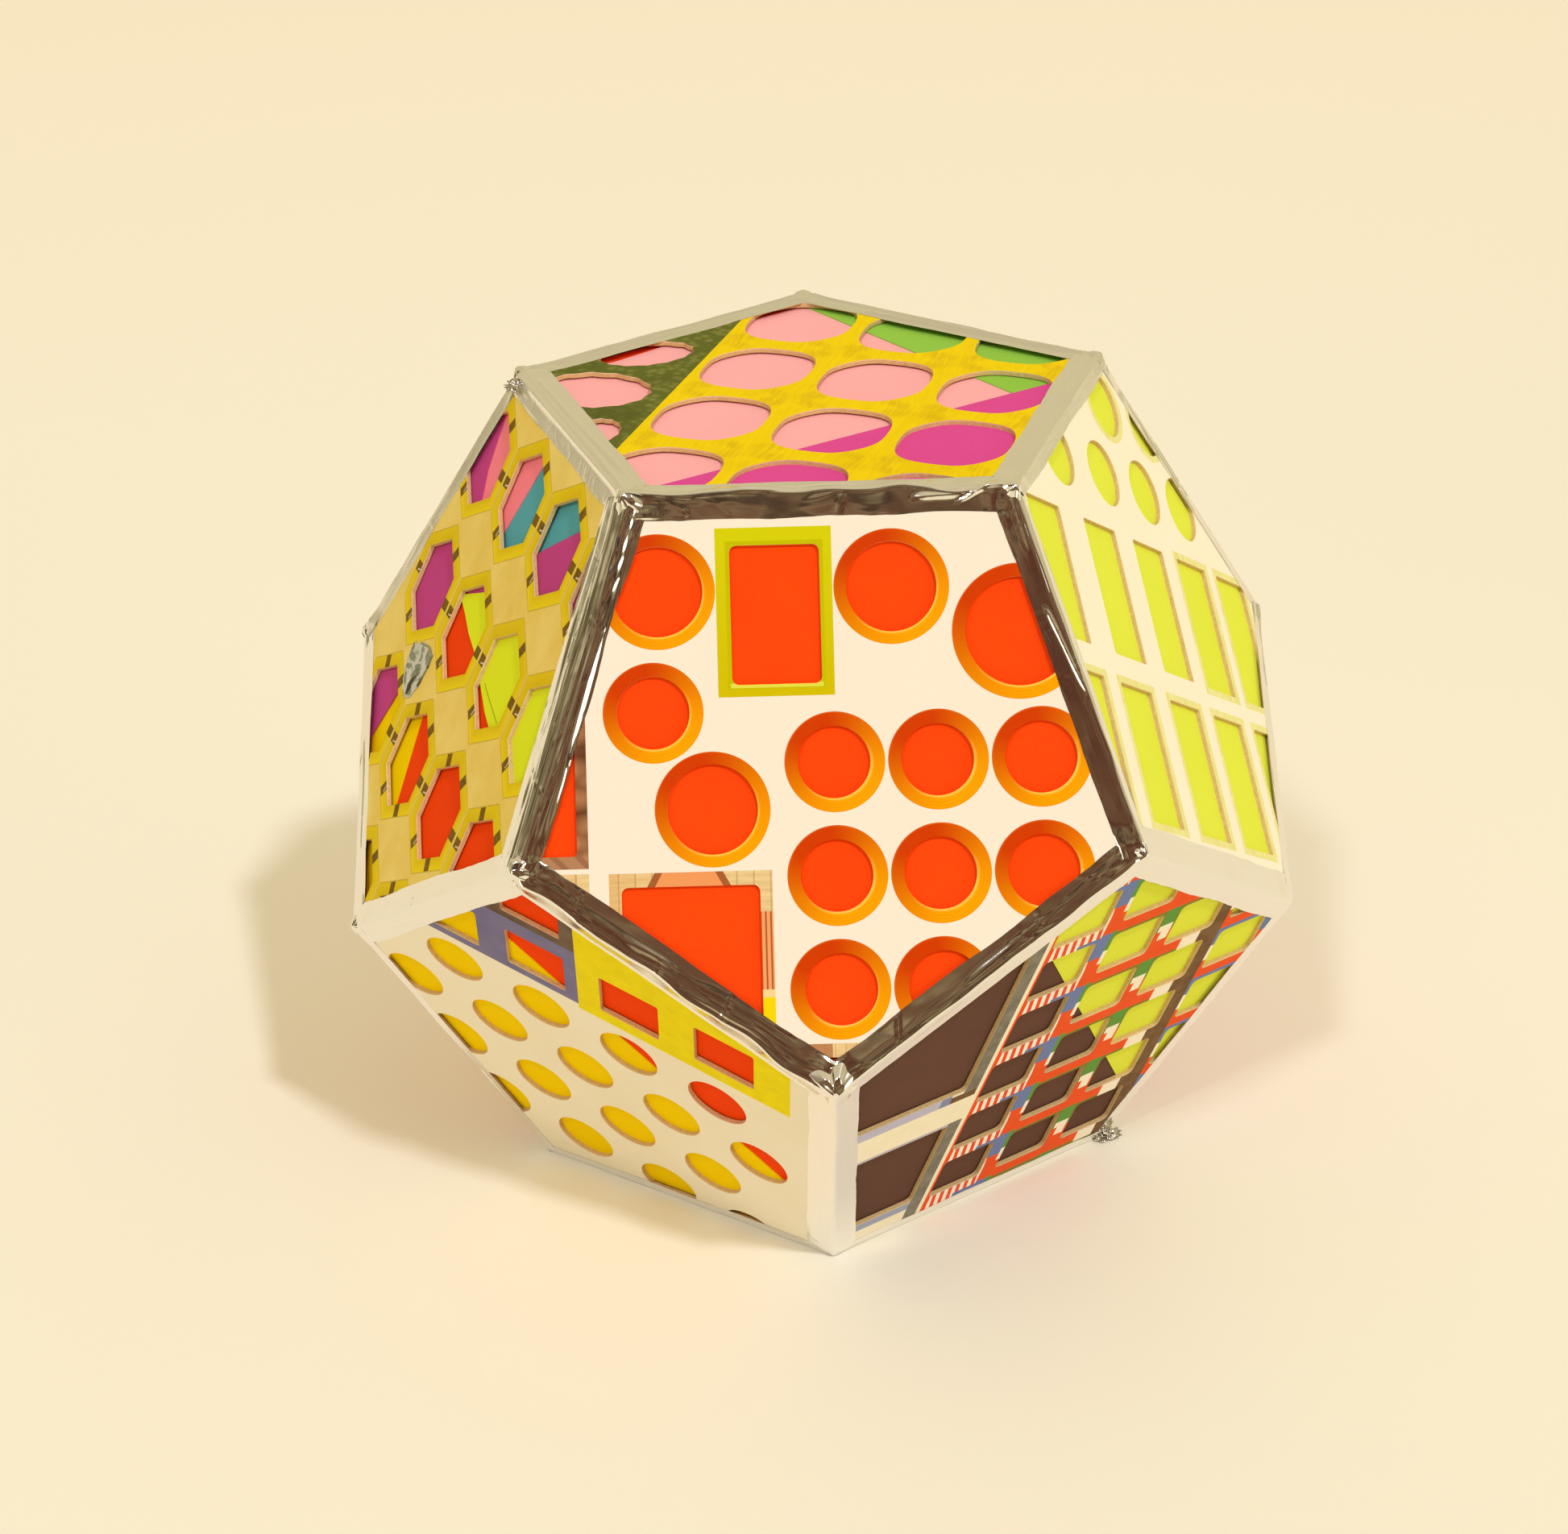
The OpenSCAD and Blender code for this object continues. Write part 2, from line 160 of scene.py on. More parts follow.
def sine(a):
    return Num.op("SINE", a)


def ramp(a, lo, hi):
    """0 at lo, 1 at hi, straight between."""
    return Num.op("MULTIPLY", a - lo, 1 / (hi - lo), clamp=True)


def turned(u, v, degrees):
    """Coordinates of (u, v) in axes turned by that angle."""
    c, s = math.cos(math.radians(degrees)), math.sin(math.radians(degrees))
    return u * c + v * s, v * c - u * s


def in_rect(u, v, u0, u1, v0, v1):
    return (absolute(u - (u0 + u1) / 2) < abs(u1 - u0) / 2) * (absolute(v - (v0 + v1) / 2) < abs(v1 - v0) / 2)


def distance(u, v, cu, cv):
    du, dv = u - cu, v - cv
    return root(du * du + dv * dv)


def left_of(u, v, p, q):
    """1 on the left of the line from p to q."""
    du, dv = q[0] - p[0], q[1] - p[1]
    return (v * du - u * dv) > (p[1] * du - p[0] * dv)


def on_lattice(u, start, pitch, last):
    """Offset from the nearest of a row of places, the first at start."""
    i = clamped(nearest((u - start) / pitch), 0, last)
    return u - start - i * pitch


def srgb(r, g, b):
    """Linear colour from 0-255 values as seen on a screen."""
    linear = [c / 255 / 12.92 if c <= 10 else ((c / 255 + 0.055) / 1.055) ** 2.4 for c in (r, g, b)]
    return (*linear, 1.0)


def mixed(mask, a, b):
    """a where mask is 0, b where it is 1. Either may be a colour or a socket."""
    node = Num.tree.nodes.new("ShaderNodeMix")
    node.data_type = "RGBA"
    for value, k in ((mask, 0), (a, 6), (b, 7)):
        feed(value, node.inputs[k])
    return node.outputs[2]


def noise_value(vector, scale, detail=2.0, rough=0.5, kind="FBM"):
    node = Num.tree.nodes.new("ShaderNodeTexNoise")
    node.noise_type = kind
    node.inputs["Scale"].default_value = scale
    node.inputs["Detail"].default_value = detail
    node.inputs["Roughness"].default_value = rough
    feed(vector, node.inputs["Vector"])
    return Num(node.outputs[0])


def cells(vector, scale, randomness=1.0):
    node = Num.tree.nodes.new("ShaderNodeTexVoronoi")
    node.inputs["Scale"].default_value = scale
    node.inputs["Randomness"].default_value = randomness
    feed(vector, node.inputs["Vector"])
    return Num(node.outputs["Distance"])


def combined(x, y, z=0.0):
    node = Num.tree.nodes.new("ShaderNodeCombineXYZ")
    for i, a in enumerate((x, y, z)):
        feed(a, node.inputs[i])
    return node.outputs[0]


def dotted(vector, axis, offset):
    node = Num.tree.nodes.new("ShaderNodeVectorMath")
    node.operation = "DOT_PRODUCT"
    feed(vector, node.inputs[0])
    node.inputs[1].default_value = axis
    return Num(node.outputs["Value"]) - offset


def new_material(name):
    """An empty material with a Principled shader, made the tree that Num works in."""
    material = bpy.data.materials.new(name)
    material.use_nodes = True
    tree = material.node_tree
    tree.nodes.clear()
    shader = tree.nodes.new("ShaderNodeBsdfPrincipled")
    output = tree.nodes.new("ShaderNodeOutputMaterial")
    tree.links.new(shader.outputs[0], output.inputs[0])
    Num.tree = tree
    return material, shader


def add_bump(shader, height, strength, depth):
    bump = Num.tree.nodes.new("ShaderNodeBump")
    bump.inputs["Strength"].default_value = strength
    bump.inputs["Distance"].default_value = depth
    feed(height, bump.inputs["Height"])
    feed(bump.outputs[0], shader.inputs["Normal"])


def placed(name, data):
    """A new object in the scene."""
    obj = bpy.data.objects.new(name, data)
    bpy.context.scene.collection.objects.link(obj)
    return obj


def object_position():
    return Num.tree.nodes.new("ShaderNodeTexCoord").outputs["Object"]


# ---------------------------------------------------------------- what is printed on each board
# places on a board are in mm from its middle: u to the right and v up, seen from outside

# outer radius of a printed ring and radius of its hole
RING_L = (16.3, 12.75)
RING_XL = (19.2, 15.4)
RING_S = (14.2, 10.25)
RING_BACK = (14.3, 11.75)
RING_COL = 29.2
RING_ROW = 32.0
HEX_COL = 37.8
HEX_ROW = 44.5
HEX_HALF = 18.2
BLOB_COL = 37.5
BLOB_ROW = 43.2
TILE_W = 22.6
TILE_H = 42.5
TILE_FRAME = 2.2
CELL_PITCH = 25.0
# a box side that lies beyond the edge of the board
PAST = 120

WHITE = srgb(238, 227, 206)
RING_DARK = srgb(203, 60, 0)
RING_LIGHT = srgb(243, 160, 0)
WOOD_PALE = srgb(232, 203, 146)
YELLOW_INK = srgb(238, 208, 4)


def speckled(place, scale, light, dark, detail=2, lo=0.3, hi=0.7, amount=1.0):
    """Light with soft spots of dark; amount is how far the spots go towards dark."""
    spots = ramp(noise_value(place, scale, detail), lo, hi)
    return mixed(spots * amount if amount < 1 else spots, light, dark)


def printed(u, v, ground, prints):
    """Rectangular prints on a ground, each a box and its ink; later ones cover earlier ones."""
    for box, ink in prints:
        ground = mixed(in_rect(u, v, *box), ground, ink)
    return ground


def ring_ground(place):
    return mixed(noise_value(place, 900, 2) * 0.06, WHITE, srgb(228, 208, 168))


def tile_ground(place):
    return speckled(place, 30, srgb(247, 240, 212), srgb(240, 232, 200), 3, 0.4, 0.7, 0.3)


def wood(u, v):
    """Painted planks: pale, with thin joints, grain and a few browner boards."""
    grain = noise_value(combined(u * 0.10, v * 0.9), 1.0, 4, 0.6)
    board = sine(nearest(u * 0.21) * 12.9)
    tone = mixed(ramp(grain, 0.35, 0.7) * 0.7, WOOD_PALE, srgb(206, 168, 104))
    tone = mixed(ramp(board, 0.2, 0.9) * 0.45, tone, srgb(214, 160, 88))
    joint = absolute(u * 0.21 - nearest(u * 0.21)) > 0.46
    return mixed(joint * 0.45, tone, srgb(150, 104, 56))


def dark_wood(u, v):
    """Browner logs and stones, for the narrow prints at the rim."""
    lump = cells(combined(u * 0.10, v * 0.16), 1.0)
    grain = noise_value(combined(u * 0.5, v * 0.14), 1.0, 4, 0.6)
    c = mixed(ramp(lump, 0.15, 0.7), srgb(176, 122, 80), srgb(98, 56, 32))
    return mixed(ramp(grain, 0.45, 0.7) * 0.5, c, srgb(120, 84, 60))


def token_rings(ground, rings):
    """Shaded rings round token holes: offsets from the middle of each, and its (outer, inner) radius."""
    depth, lean = None, None
    for du, dv, (r_out, r_in) in rings:
        r = root(du * du + dv * dv)
        t = (r_out - r) / (r_out - r_in)
        q = (du * 0.55 - dv * 0.83) / larger(r, 0.1) * (t > 0)
        depth = t if depth is None else larger(depth, t)
        lean = q if lean is None else lean + q
    paint = mixed(ramp(lean, -0.9, 0.95), RING_DARK, RING_LIGHT)
    lines = ramp(sine(depth * 26.0), 0.55, 0.95) * ramp(lean, 0.35, 0.9) * (depth < 0.62)
    paint = mixed(lines * 0.30, paint, srgb(206, 112, 4))
    inner = ramp(depth, 0.80, 0.92) * ramp(lean, 0.0, 0.8)
    paint = mixed(inner * 0.55, paint, srgb(255, 214, 92))
    outer = (depth < 0.10) * ramp(0.0 - lean, 0.1, 0.7)
    paint = mixed(outer * 0.25, paint, srgb(240, 130, 30))
    return mixed(depth > 0.0, ground, paint)


def paint_front(u, v, place):
    singles = [
        (-46.5, 48.5, RING_L),
        (19.4, 48.5, RING_L),
        (-32.5, -13, RING_L),
        (55.3, 35, RING_XL),
        (-48.5, 14.5, RING_S),
    ]
    rings = [(u - cu, v - cv, size) for cu, cv, size in singles]
    column = on_lattice(u, 2.2, RING_COL, 2)
    row = on_lattice(v * -1.0, 0.5, RING_ROW, 2) * -1.0
    c = token_rings(ring_ground(place), rings + [(column, row, RING_S)])
    shade = mixed(ramp(v, 20, 62), srgb(204, 184, 2), srgb(206, 200, 6))
    inset = in_rect(u, v, -27.2, 0.4, 20.6, 62.2)
    slats = ramp(sine(u * 4.4 + 0.6), 0.35, 0.75)
    beam = ramp(sine(u * 0.9 + v * 0.9), 0.2, 0.8) * 0.5
    foot = mixed((u < -0.5) * 0.8, wood(u * 1.6 + 2, v), srgb(170, 104, 60))
    prints = [
        ((-30, 2.8, 18.4, 66), mixed(inset, shade, srgb(190, 184, 0))),
        ((-26.4, -0.3, 20.9, 22.2), srgb(222, 214, 70)),
        ((-62.2, -16.2, -PAST, -30.4), wood(u, v)),
        ((-19.9, -16.2, -64.0, -42), mixed(slats, srgb(236, 156, 96), srgb(160, 84, 40))),
        ((-19.9, -16.2, -66.2, -64.0), srgb(236, 206, 140)),
        ((-19.9, -16.2, -90, -66.2), YELLOW_INK),
        ((-PAST, -67.7, -28.8, 30), dark_wood(u, v)),
        ((-PAST, -67.7, -28.8, -25.2), mixed(beam, srgb(176, 126, 88), srgb(120, 74, 44))),
        ((-PAST, -67.7, -PAST, -30.2), wood(u * 0.7, v)),
        ((-10.4, 9.3, -PAST, -79.7), foot),
    ]
    c = printed(u, v, c, prints)
    # a low gable at the top of the plank panel
    gable = absolute(u + 39.7) + (v + 30.4) * 0.55
    shown = (gable < 9.6) * (v < -30.4) * (v > -34.6)
    return mixed(shown, c, mixed((gable > 7.4) * 0.9, srgb(232, 150, 90), srgb(150, 82, 40)))


def hexagon_reach(u, v):
    """Distance from the middle towards the flat sides of an upright hexagon."""
    return larger(absolute(u), absolute(u) * 0.5 + absolute(v) * 0.8660254)


def paint_hexes(u, v, place, start_u, start_v, last_u, last_v, drift=0.0):
    """Yellow frames with brown ticks round hexagonal holes, on mottled sand."""
    mottle = noise_value(place, 60, 5, 0.6)
    ground = mixed(ramp(mottle, 0.35, 0.68), srgb(243, 214, 116), srgb(234, 200, 88))
    blot = noise_value(place, 23, 2)
    ground = mixed(ramp(blot, 0.55, 0.72) * 0.35, ground, srgb(246, 226, 140))
    j = clamped(nearest((start_v - v) / HEX_ROW), 0, last_v)
    y = v - start_v + j * HEX_ROW
    shifted = u + j * drift
    x = on_lattice(shifted, start_u, HEX_COL, last_u)
    reach = hexagon_reach(x, y)
    frame_ink = mixed(ramp(reach, 14, 18.3), srgb(224, 190, 10), srgb(244, 214, 16))
    frame_ink = mixed(ramp(y * 0.5 - x * 0.3, -6, 7) * 0.45, frame_ink, srgb(214, 180, 6))
    frame_ink = mixed(ramp(mottle, 0.45, 0.7) * 0.3, frame_ink, srgb(240, 218, 20))
    c = mixed(reach < HEX_HALF, ground, frame_ink)
    outline = (reach < HEX_HALF + 0.3) * (reach > HEX_HALF - 0.2)
    c = mixed(outline * 0.5, c, srgb(184, 152, 10))
    tick_ink = speckled(place, 500, srgb(122, 84, 22), srgb(88, 56, 16))
    last_row = j > last_v - 1.5
    for angle in (0, 60, 120):
        n, t = turned(x, y, angle)
        shown = (absolute(n) < 18.1) * (absolute(n) > 13.9) * (absolute(t) < 1.75)
        if angle == 120:
            shown = shown * last_row
        c = mixed(shown * 0.92, c, tick_ink)
        if angle < 120:
            slant = t - (n + 16.0) * 0.25
            nick = (n < -13.9) * (n > -16.4) * (absolute(slant + 0.9) < 0.28)
            c = mixed(nick * 0.6, c, srgb(252, 236, 196))
    return c


def paint_left(u, v, place):
    return paint_hexes(u, v, place, -50, 47.5, 3, 3, 0.8)


def paint_right(u, v, place):
    x, y = turned(u, v, -34.5)
    ink = speckled(place, 300, srgb(238, 232, 158), srgb(230, 222, 138))
    tiles = [(-67, -41.8), (-33.2, -41.8), (2.2, -41.8), (35.5, -41.8), (67.9, -41.8), (37, 9.7), (68.2, 9.7)]
    half_w = TILE_W / 2 + TILE_FRAME
    half_h = TILE_H / 2 + TILE_FRAME
    frames = [((cx - half_w, cx + half_w, cy - half_h, cy + half_h), ink) for cx, cy in tiles]
    c = printed(x, y, tile_ground(place), frames)
    for cx in (-4.3, 25.6):
        c = mixed(distance(x, y, cx, 75.5) < 12.6, c, ink)
    return c


def paint_top(u, v, place, turn=-19.5, start=(-23.2, 18.0), green=True):
    """Brushed yellow with darker stars between the holes; green leaves on one side where asked."""
    x, y = turned(u, v, turn)
    sweep = noise_value(place, 30, 2)
    bristle = noise_value(combined(x * 0.8 + sweep * 9.0, y * 0.08 + sweep * 2.0), 1.0, 3, 0.6)
    ground = mixed(ramp(bristle, 0.36, 0.66) * 0.45, srgb(247, 215, 0), srgb(232, 193, 0))
    x = x + noise_value(place, 34, 2) * 7.0 - 3.5
    y = y + noise_value(combined(y * 0.03, x * 0.03, 3.0), 1.0, 2) * 7.0 - 3.5
    # offsets from the middle of the space between four holes
    mid_u, mid_v = start[0] + BLOB_COL / 2, start[1] + BLOB_ROW / 2
    lx = x - mid_u - nearest((x - mid_u) / BLOB_COL) * BLOB_COL
    ly = y - mid_v - nearest((y - mid_v) / BLOB_ROW) * BLOB_ROW
    for angle, breadth in ((35, 3.4), (-28, 2.8)):
        a, b = turned(lx, ly, angle)
        fray = noise_value(combined(b * 1.6, a * 0.12, angle * 1.0), 1.0, 2) * 2.0
        fray = fray + noise_value(place, 90, 2) * 3.0
        arm = ramp(absolute(b) + fray, breadth + 3.2, breadth + 0.6)
        arm = arm * ramp(absolute(a), 14.0, 9.0) * ramp(absolute(a), 0.5, 5.0)
        ground = mixed(arm * ramp(bristle, 0.3, 0.55) * 0.42, ground, srgb(208, 164, 14))
    patch = ramp(noise_value(place, 45, 2), 0.55, 0.70)
    ground = mixed(patch * 0.22, ground, srgb(210, 168, 0))
    if not green:
        return ground
    spots = cells(place, 330)
    leaf = mixed(ramp(spots, 0.05, 0.6), srgb(136, 136, 62), srgb(98, 104, 36))
    leaf = mixed(ramp(noise_value(place, 50, 3), 0.48, 0.66) * 0.7, leaf, srgb(86, 90, 30))
    return mixed(left_of(u, v, (-59, -43), (-21, 67)), ground, leaf)


def paint_lower_left(u, v, place):
    x, y = turned(u, v, -18.5)
    ground = speckled(place, 25, srgb(248, 238, 212), srgb(240, 226, 190), 3, 0.4, 0.7, 0.35)
    prints = [
        ((-11.2, 60.5, 24.8, 78), speckled(place, 200, srgb(246, 226, 0), srgb(238, 216, 0))),
        ((-68, -11.2, 27.2, 78), speckled(place, 90, srgb(132, 124, 156), srgb(114, 110, 150), 3)),
        ((-42, -11.2, 58, 84), speckled(place, 120, srgb(122, 100, 84), srgb(100, 80, 62), 3)),
    ]
    return printed(x, y, ground, prints)


def paint_cells(u, v, place, start_u, start_v, last_u, last_v, open_left):
    """Square cells with candy stripes, red bars and coloured blocks on the lines between them."""
    grit = noise_value(place, 220, 3)
    red = mixed(ramp(grit, 0.35, 0.7) * 0.5, srgb(240, 88, 30), srgb(230, 76, 24))
    cream = srgb(250, 240, 216)
    blue, green = srgb(112, 128, 176), srgb(98, 152, 62)
    brown = mixed(ramp(grit, 0.35, 0.7), srgb(128, 96, 62), srgb(106, 76, 46))
    # x counts from the left edge of a column of cells, y from the middle of the line below a row
    x = u - (start_u - 9.2)
    y = v - (start_v - CELL_PITCH / 2)
    y = y - nearest(y / CELL_PITCH) * CELL_PITCH
    line = absolute(y) < 3.0
    # between the first two columns
    c = mixed(y < -0.5 - (x - 20) * 0.12, red, blue)
    tick = mixed(y < -10, green, cream)
    tick = mixed(y > 8.5, mixed(y > -0.5, tick, red), cream)
    c = mixed((x > 24.4), c, tick)
    # bars right of that
    bar = mixed(y < -1.8, red, srgb(128, 128, 48))
    c = mixed(x > 26.4, c, bar)
    # between the next two
    tick = mixed(y < -9.5, mixed(y > -0.6, green, red), cream)
    tick = mixed(y > 8.0, tick, cream)
    tick = mixed((x < 48.3) * (y > 2.0), tick, red)
    c = mixed((x > 46.6) * (x < 52.0) * (absolute(y) > 1.6), c, tick)
    c = mixed((x > 61.0) * line, c, cream)
    c = mixed(x > 68.6, c, brown)
    last = mixed(y < -1.2, red, blue)
    last = mixed((x < 79.6) * (y < -3.0), last, blue)
    last = mixed((x < 79.6) * (larger(y > 8.0, y < -9.5)), last, cream)
    c = mixed(x > 78.2, c, last)
    # candy stripes along the first column
    stripe = ramp(sine((x + y * 0.12) * 1.95), -0.2, 0.2)
    candy = mixed(stripe, srgb(232, 84, 44), srgb(252, 242, 224))
    candy = mixed((y < -1.4) * (x > 11.0), candy, blue)
    c = mixed(x < 20.0, c, candy)
    if not open_left:
        return mixed(x < -0.6, c, red)
    plain = mixed(ramp(grit, 0.35, 0.7) * 0.4, srgb(250, 240, 212), srgb(240, 228, 196))
    c = mixed(u < -20.4, c, red)
    c = mixed(u < -22.4, c, plain)
    grey = mixed(ramp(grit, 0.3, 0.7), srgb(142, 136, 122), srgb(118, 112, 98))
    c = mixed((u < -24.2) * (u > -29.5) * (absolute(v + 14.5) > 6.2), c, grey)
    sky = mixed(u > -38, srgb(190, 188, 210), srgb(132, 142, 182))
    c = mixed((u < -34.0) * (v < -3) * (v > -8.3), c, sky)
    c = mixed((u < -24.2) * (u > -34.0) * (v < -5.0) * (v > -8.3), c, brown)
    c = mixed((u < -29.5) * (v < -20.7) * (v > -22.4), c, srgb(196, 190, 200))
    return mixed((u < -29.5) * (v < -62.6) * (v > -66.2), c, srgb(160, 168, 192))


def paint_lower_right(u, v, place):
    return paint_cells(u, v, place, -11.5, 69.5, 3, 5, True)


def paint_back_left(u, v, place):
    return paint_top(u, v, place, 18, (-74, -62), False)


def paint_back_right(u, v, place):
    x = on_lattice(u, -60, 30, 4)
    y = on_lattice(v, -60, 30, 4)
    return token_rings(ring_ground(place), [(x, y, RING_BACK)])


def paint_lower_back_right(u, v, place):
    x, y = turned(u, v, 12)
    lx = on_lattice(x, -72, 34.7, 4)
    ly = on_lattice(y, -56, 51.5, 2)
    ink = speckled(place, 300, srgb(170, 196, 214), srgb(150, 180, 204))
    return mixed((absolute(lx) < 13.6) * (absolute(ly) < 23.6), tile_ground(place), ink)


def paint_lower_back(u, v, place):
    return paint_cells(u, v, place, -67, -62.5, 5, 5, False)


def paint_lower_back_left(u, v, place):
    return paint_hexes(u, v, place, -76, 67.5, 4, 3)


def paint_base(u, v, place):
    ground = speckled(place, 25, srgb(248, 238, 212), srgb(236, 222, 188), 3, 0.4, 0.7, 0.35)
    band = ramp(sine(v * 0.2416), 0.75, 0.8)
    return mixed(band * 0.5, ground, srgb(150, 170, 190))


def board_material(face, paint):
    """Print on the outer face, bare greyboard with a pale paper lip on the cut walls."""
    material, shader = new_material("print_" + face)
    centre, right, up, out = face_axes(face)
    place = object_position()
    u = dotted(place, right * 1000, float(centre @ right) * 1000)
    v = dotted(place, up * 1000, float(centre @ up) * 1000)
    w = dotted(place, out * 1000, float(centre @ out) * 1000)
    ink = paint(u, v, place)
    fibre = noise_value(combined(u * 0.8, v * 0.8, w * 3.0), 1.0, 4, 0.65)
    core = mixed(ramp(fibre, 0.3, 0.7), srgb(232, 200, 140), srgb(198, 162, 104))
    core = mixed((w > -0.30) * 0.75, core, srgb(236, 220, 186))
    shown = w > -0.06
    feed(mixed(shown, core, ink), shader.inputs["Base Color"])
    gloss = noise_value(place, 120, 2) * 0.12 + 0.42
    feed(gloss * shown + (1.0 - shown) * 0.9, shader.inputs["Roughness"])
    shader.inputs["Specular IOR Level"].default_value = 0.03
    weave = noise_value(place, 1500, 2) * 0.35 + noise_value(place, 45, 2) * shown
    add_bump(shader, weave, 0.25, 0.0002)
    return material


# ---------------------------------------------------------------- backing cards

# lighter and darker dye of each card; the left face has some tones of its own
CARDS = {
    "red": (srgb(252, 76, 14), srgb(240, 62, 10)),
    "lime": (srgb(230, 236, 78), srgb(218, 228, 62)),
    "yellow": (srgb(252, 214, 0), srgb(244, 204, 0)),
    "brown": (srgb(108, 77, 64), srgb(96, 67, 56)),
    "pink": (srgb(255, 184, 180), srgb(252, 172, 168)),
    "purple": (srgb(230, 84, 154), srgb(216, 74, 142)),
    "green": (srgb(158, 208, 80), srgb(142, 194, 66)),
    "teal": (srgb(94, 172, 178), srgb(82, 158, 166)),
    "pink_left": (srgb(255, 140, 150), srgb(250, 128, 140)),
    "purple_left": (srgb(202, 76, 138), srgb(188, 66, 128)),
    "lime_left": (srgb(232, 240, 44), srgb(222, 234, 30)),
}


def card_material(name, face):
    """Dyed card: a fine felt of fibres, faint flecks and a slight sheen."""
    material, shader = new_material("card_" + name + "_" + face)
    light, dark = CARDS.get(name + "_" + face, CARDS[name])
    place = object_position()
    felt = noise_value(place, 1800, 3, 0.7)
    cloud = noise_value(place, 35, 2)
    c = mixed(ramp(felt, 0.3, 0.7) * 0.6, light, dark)
    c = mixed(ramp(cloud, 0.4, 0.7) * 0.3, c, dark)
    if name == "lime" and face == "left":
        # a faint dark olive line runs across part of the card, along the edge of a hidden card beneath it
        centre, right, up, out = face_axes(face)
        u = dotted(place, right * 1000, float(centre @ right) * 1000)
        v = dotted(place, up * 1000, float(centre @ up) * 1000)
        line = absolute(v + (u - 14.0) * 0.30 + 1.2 + sine(u * 0.12) * 0.8) < 0.22
        c = mixed(line * (absolute(u - 24) < 10) * 0.7, c, srgb(120, 120, 30))
    feed(c, shader.inputs["Base Color"])
    feed(felt * 0.1 + 0.66, shader.inputs["Roughness"])
    shader.inputs["Specular IOR Level"].default_value = 0.02
    add_bump(shader, felt + cloud * 2.0, 0.3, 0.0001)
    return material


# ---------------------------------------------------------------- foil

HALF_EDGE = EDGE * 500
STRIP_ROWS = 45
COLS = 150
COLS_PLEATED = 300
# half breadth of the fold over an edge, and how far loose foil stands out past it (mm)
FOLD = 0.6
LIP = 0.3
# least height above the floor, in metres
STRIP_GAP = 0.00003
CRUMPLE_GAP = 0.00004


def foil_material(name, tint, rough):
    """Foil: long shallow dents, faint drawn lines in its colour and slightly uneven polish."""
    material, shader = new_material(name)
    along = Num.tree.nodes.new("ShaderNodeAttribute")
    along.attribute_name = "along"
    place = along.outputs["Vector"]
    split = Num.tree.nodes.new("ShaderNodeSeparateXYZ")
    feed(place, split.inputs[0])
    x, s, seed = (Num(split.outputs[i]) for i in range(3))
    drawn = noise_value(combined(x * 0.03, s * 4.0, seed), 1.0, 3, 0.6)
    dents = noise_value(combined(x * 0.10, s * 0.20, seed), 1.0, 1, 0.4)
    fine = noise_value(combined(x * 1.3, s * 1.6, seed), 1.0, 3, 0.6)
    c = mixed(ramp(drawn, 0.3, 0.7) * 0.35, tint, tuple(k * 0.86 for k in tint[:3]) + (1.0,))
    feed(c, shader.inputs["Base Color"])
    shader.inputs["Metallic"].default_value = 1.0
    feed(drawn * 0.06 + fine * 0.05 + (rough - 0.05), shader.inputs["Roughness"])
    add_bump(shader, dents * 0.50 + fine * 0.006, 0.45, 0.00035)
    return material


def grid_quads(n, m):
    """Quads of a grid of n rows of m vertices."""
    return [
        (i * m + j, (i + 1) * m + j, (i + 1) * m + j + 1, i * m + j + 1)
        for i in range(n - 1)
        for j in range(m - 1)
    ]


def tent(d, width):
    return np.clip(1 - np.abs(d) / width, 0, 1)


def smooth(t):
    t = np.clip(t, 0, 1)
    return t * t * (3 - 2 * t)


def wave(x, y, seed):
    """Smooth noise, -1 to 1, at arrays of places."""
    flat = [noise.noise(Vector((a, b, seed))) for a, b in zip(np.ravel(x), np.ravel(y))]
    return np.array(flat).reshape(np.shape(x)) * 1.6


def edge_axes(face, side):
    """Middle of one edge of a face, the way along it, and each face's way in and way out."""
    centre, right, up, out = face_axes(face)
    a = math.radians(side)
    off = right * math.cos(a) + up * math.sin(a)
    along = -right * math.sin(a) + up * math.cos(a)
    inward = -off
    other_in = math.cos(DIHEDRAL) * inward - math.sin(DIHEDRAL) * out
    other_out = -math.sin(DIHEDRAL) * inward - math.cos(DIHEDRAL) * out
    return centre + off * APOTHEM, along, inward, out, other_in, other_out


def ridge(x, s, at, slope, x0, x1, broad, height):
    """A sharp crease running along the strip from x0 to x1."""
    line = at + slope * (x - (x0 + x1) / 2)
    ends = smooth((x - x0) / 6) * smooth((x1 - x) / 6)
    return height * ends * tent(s - line, broad) ** 1.3


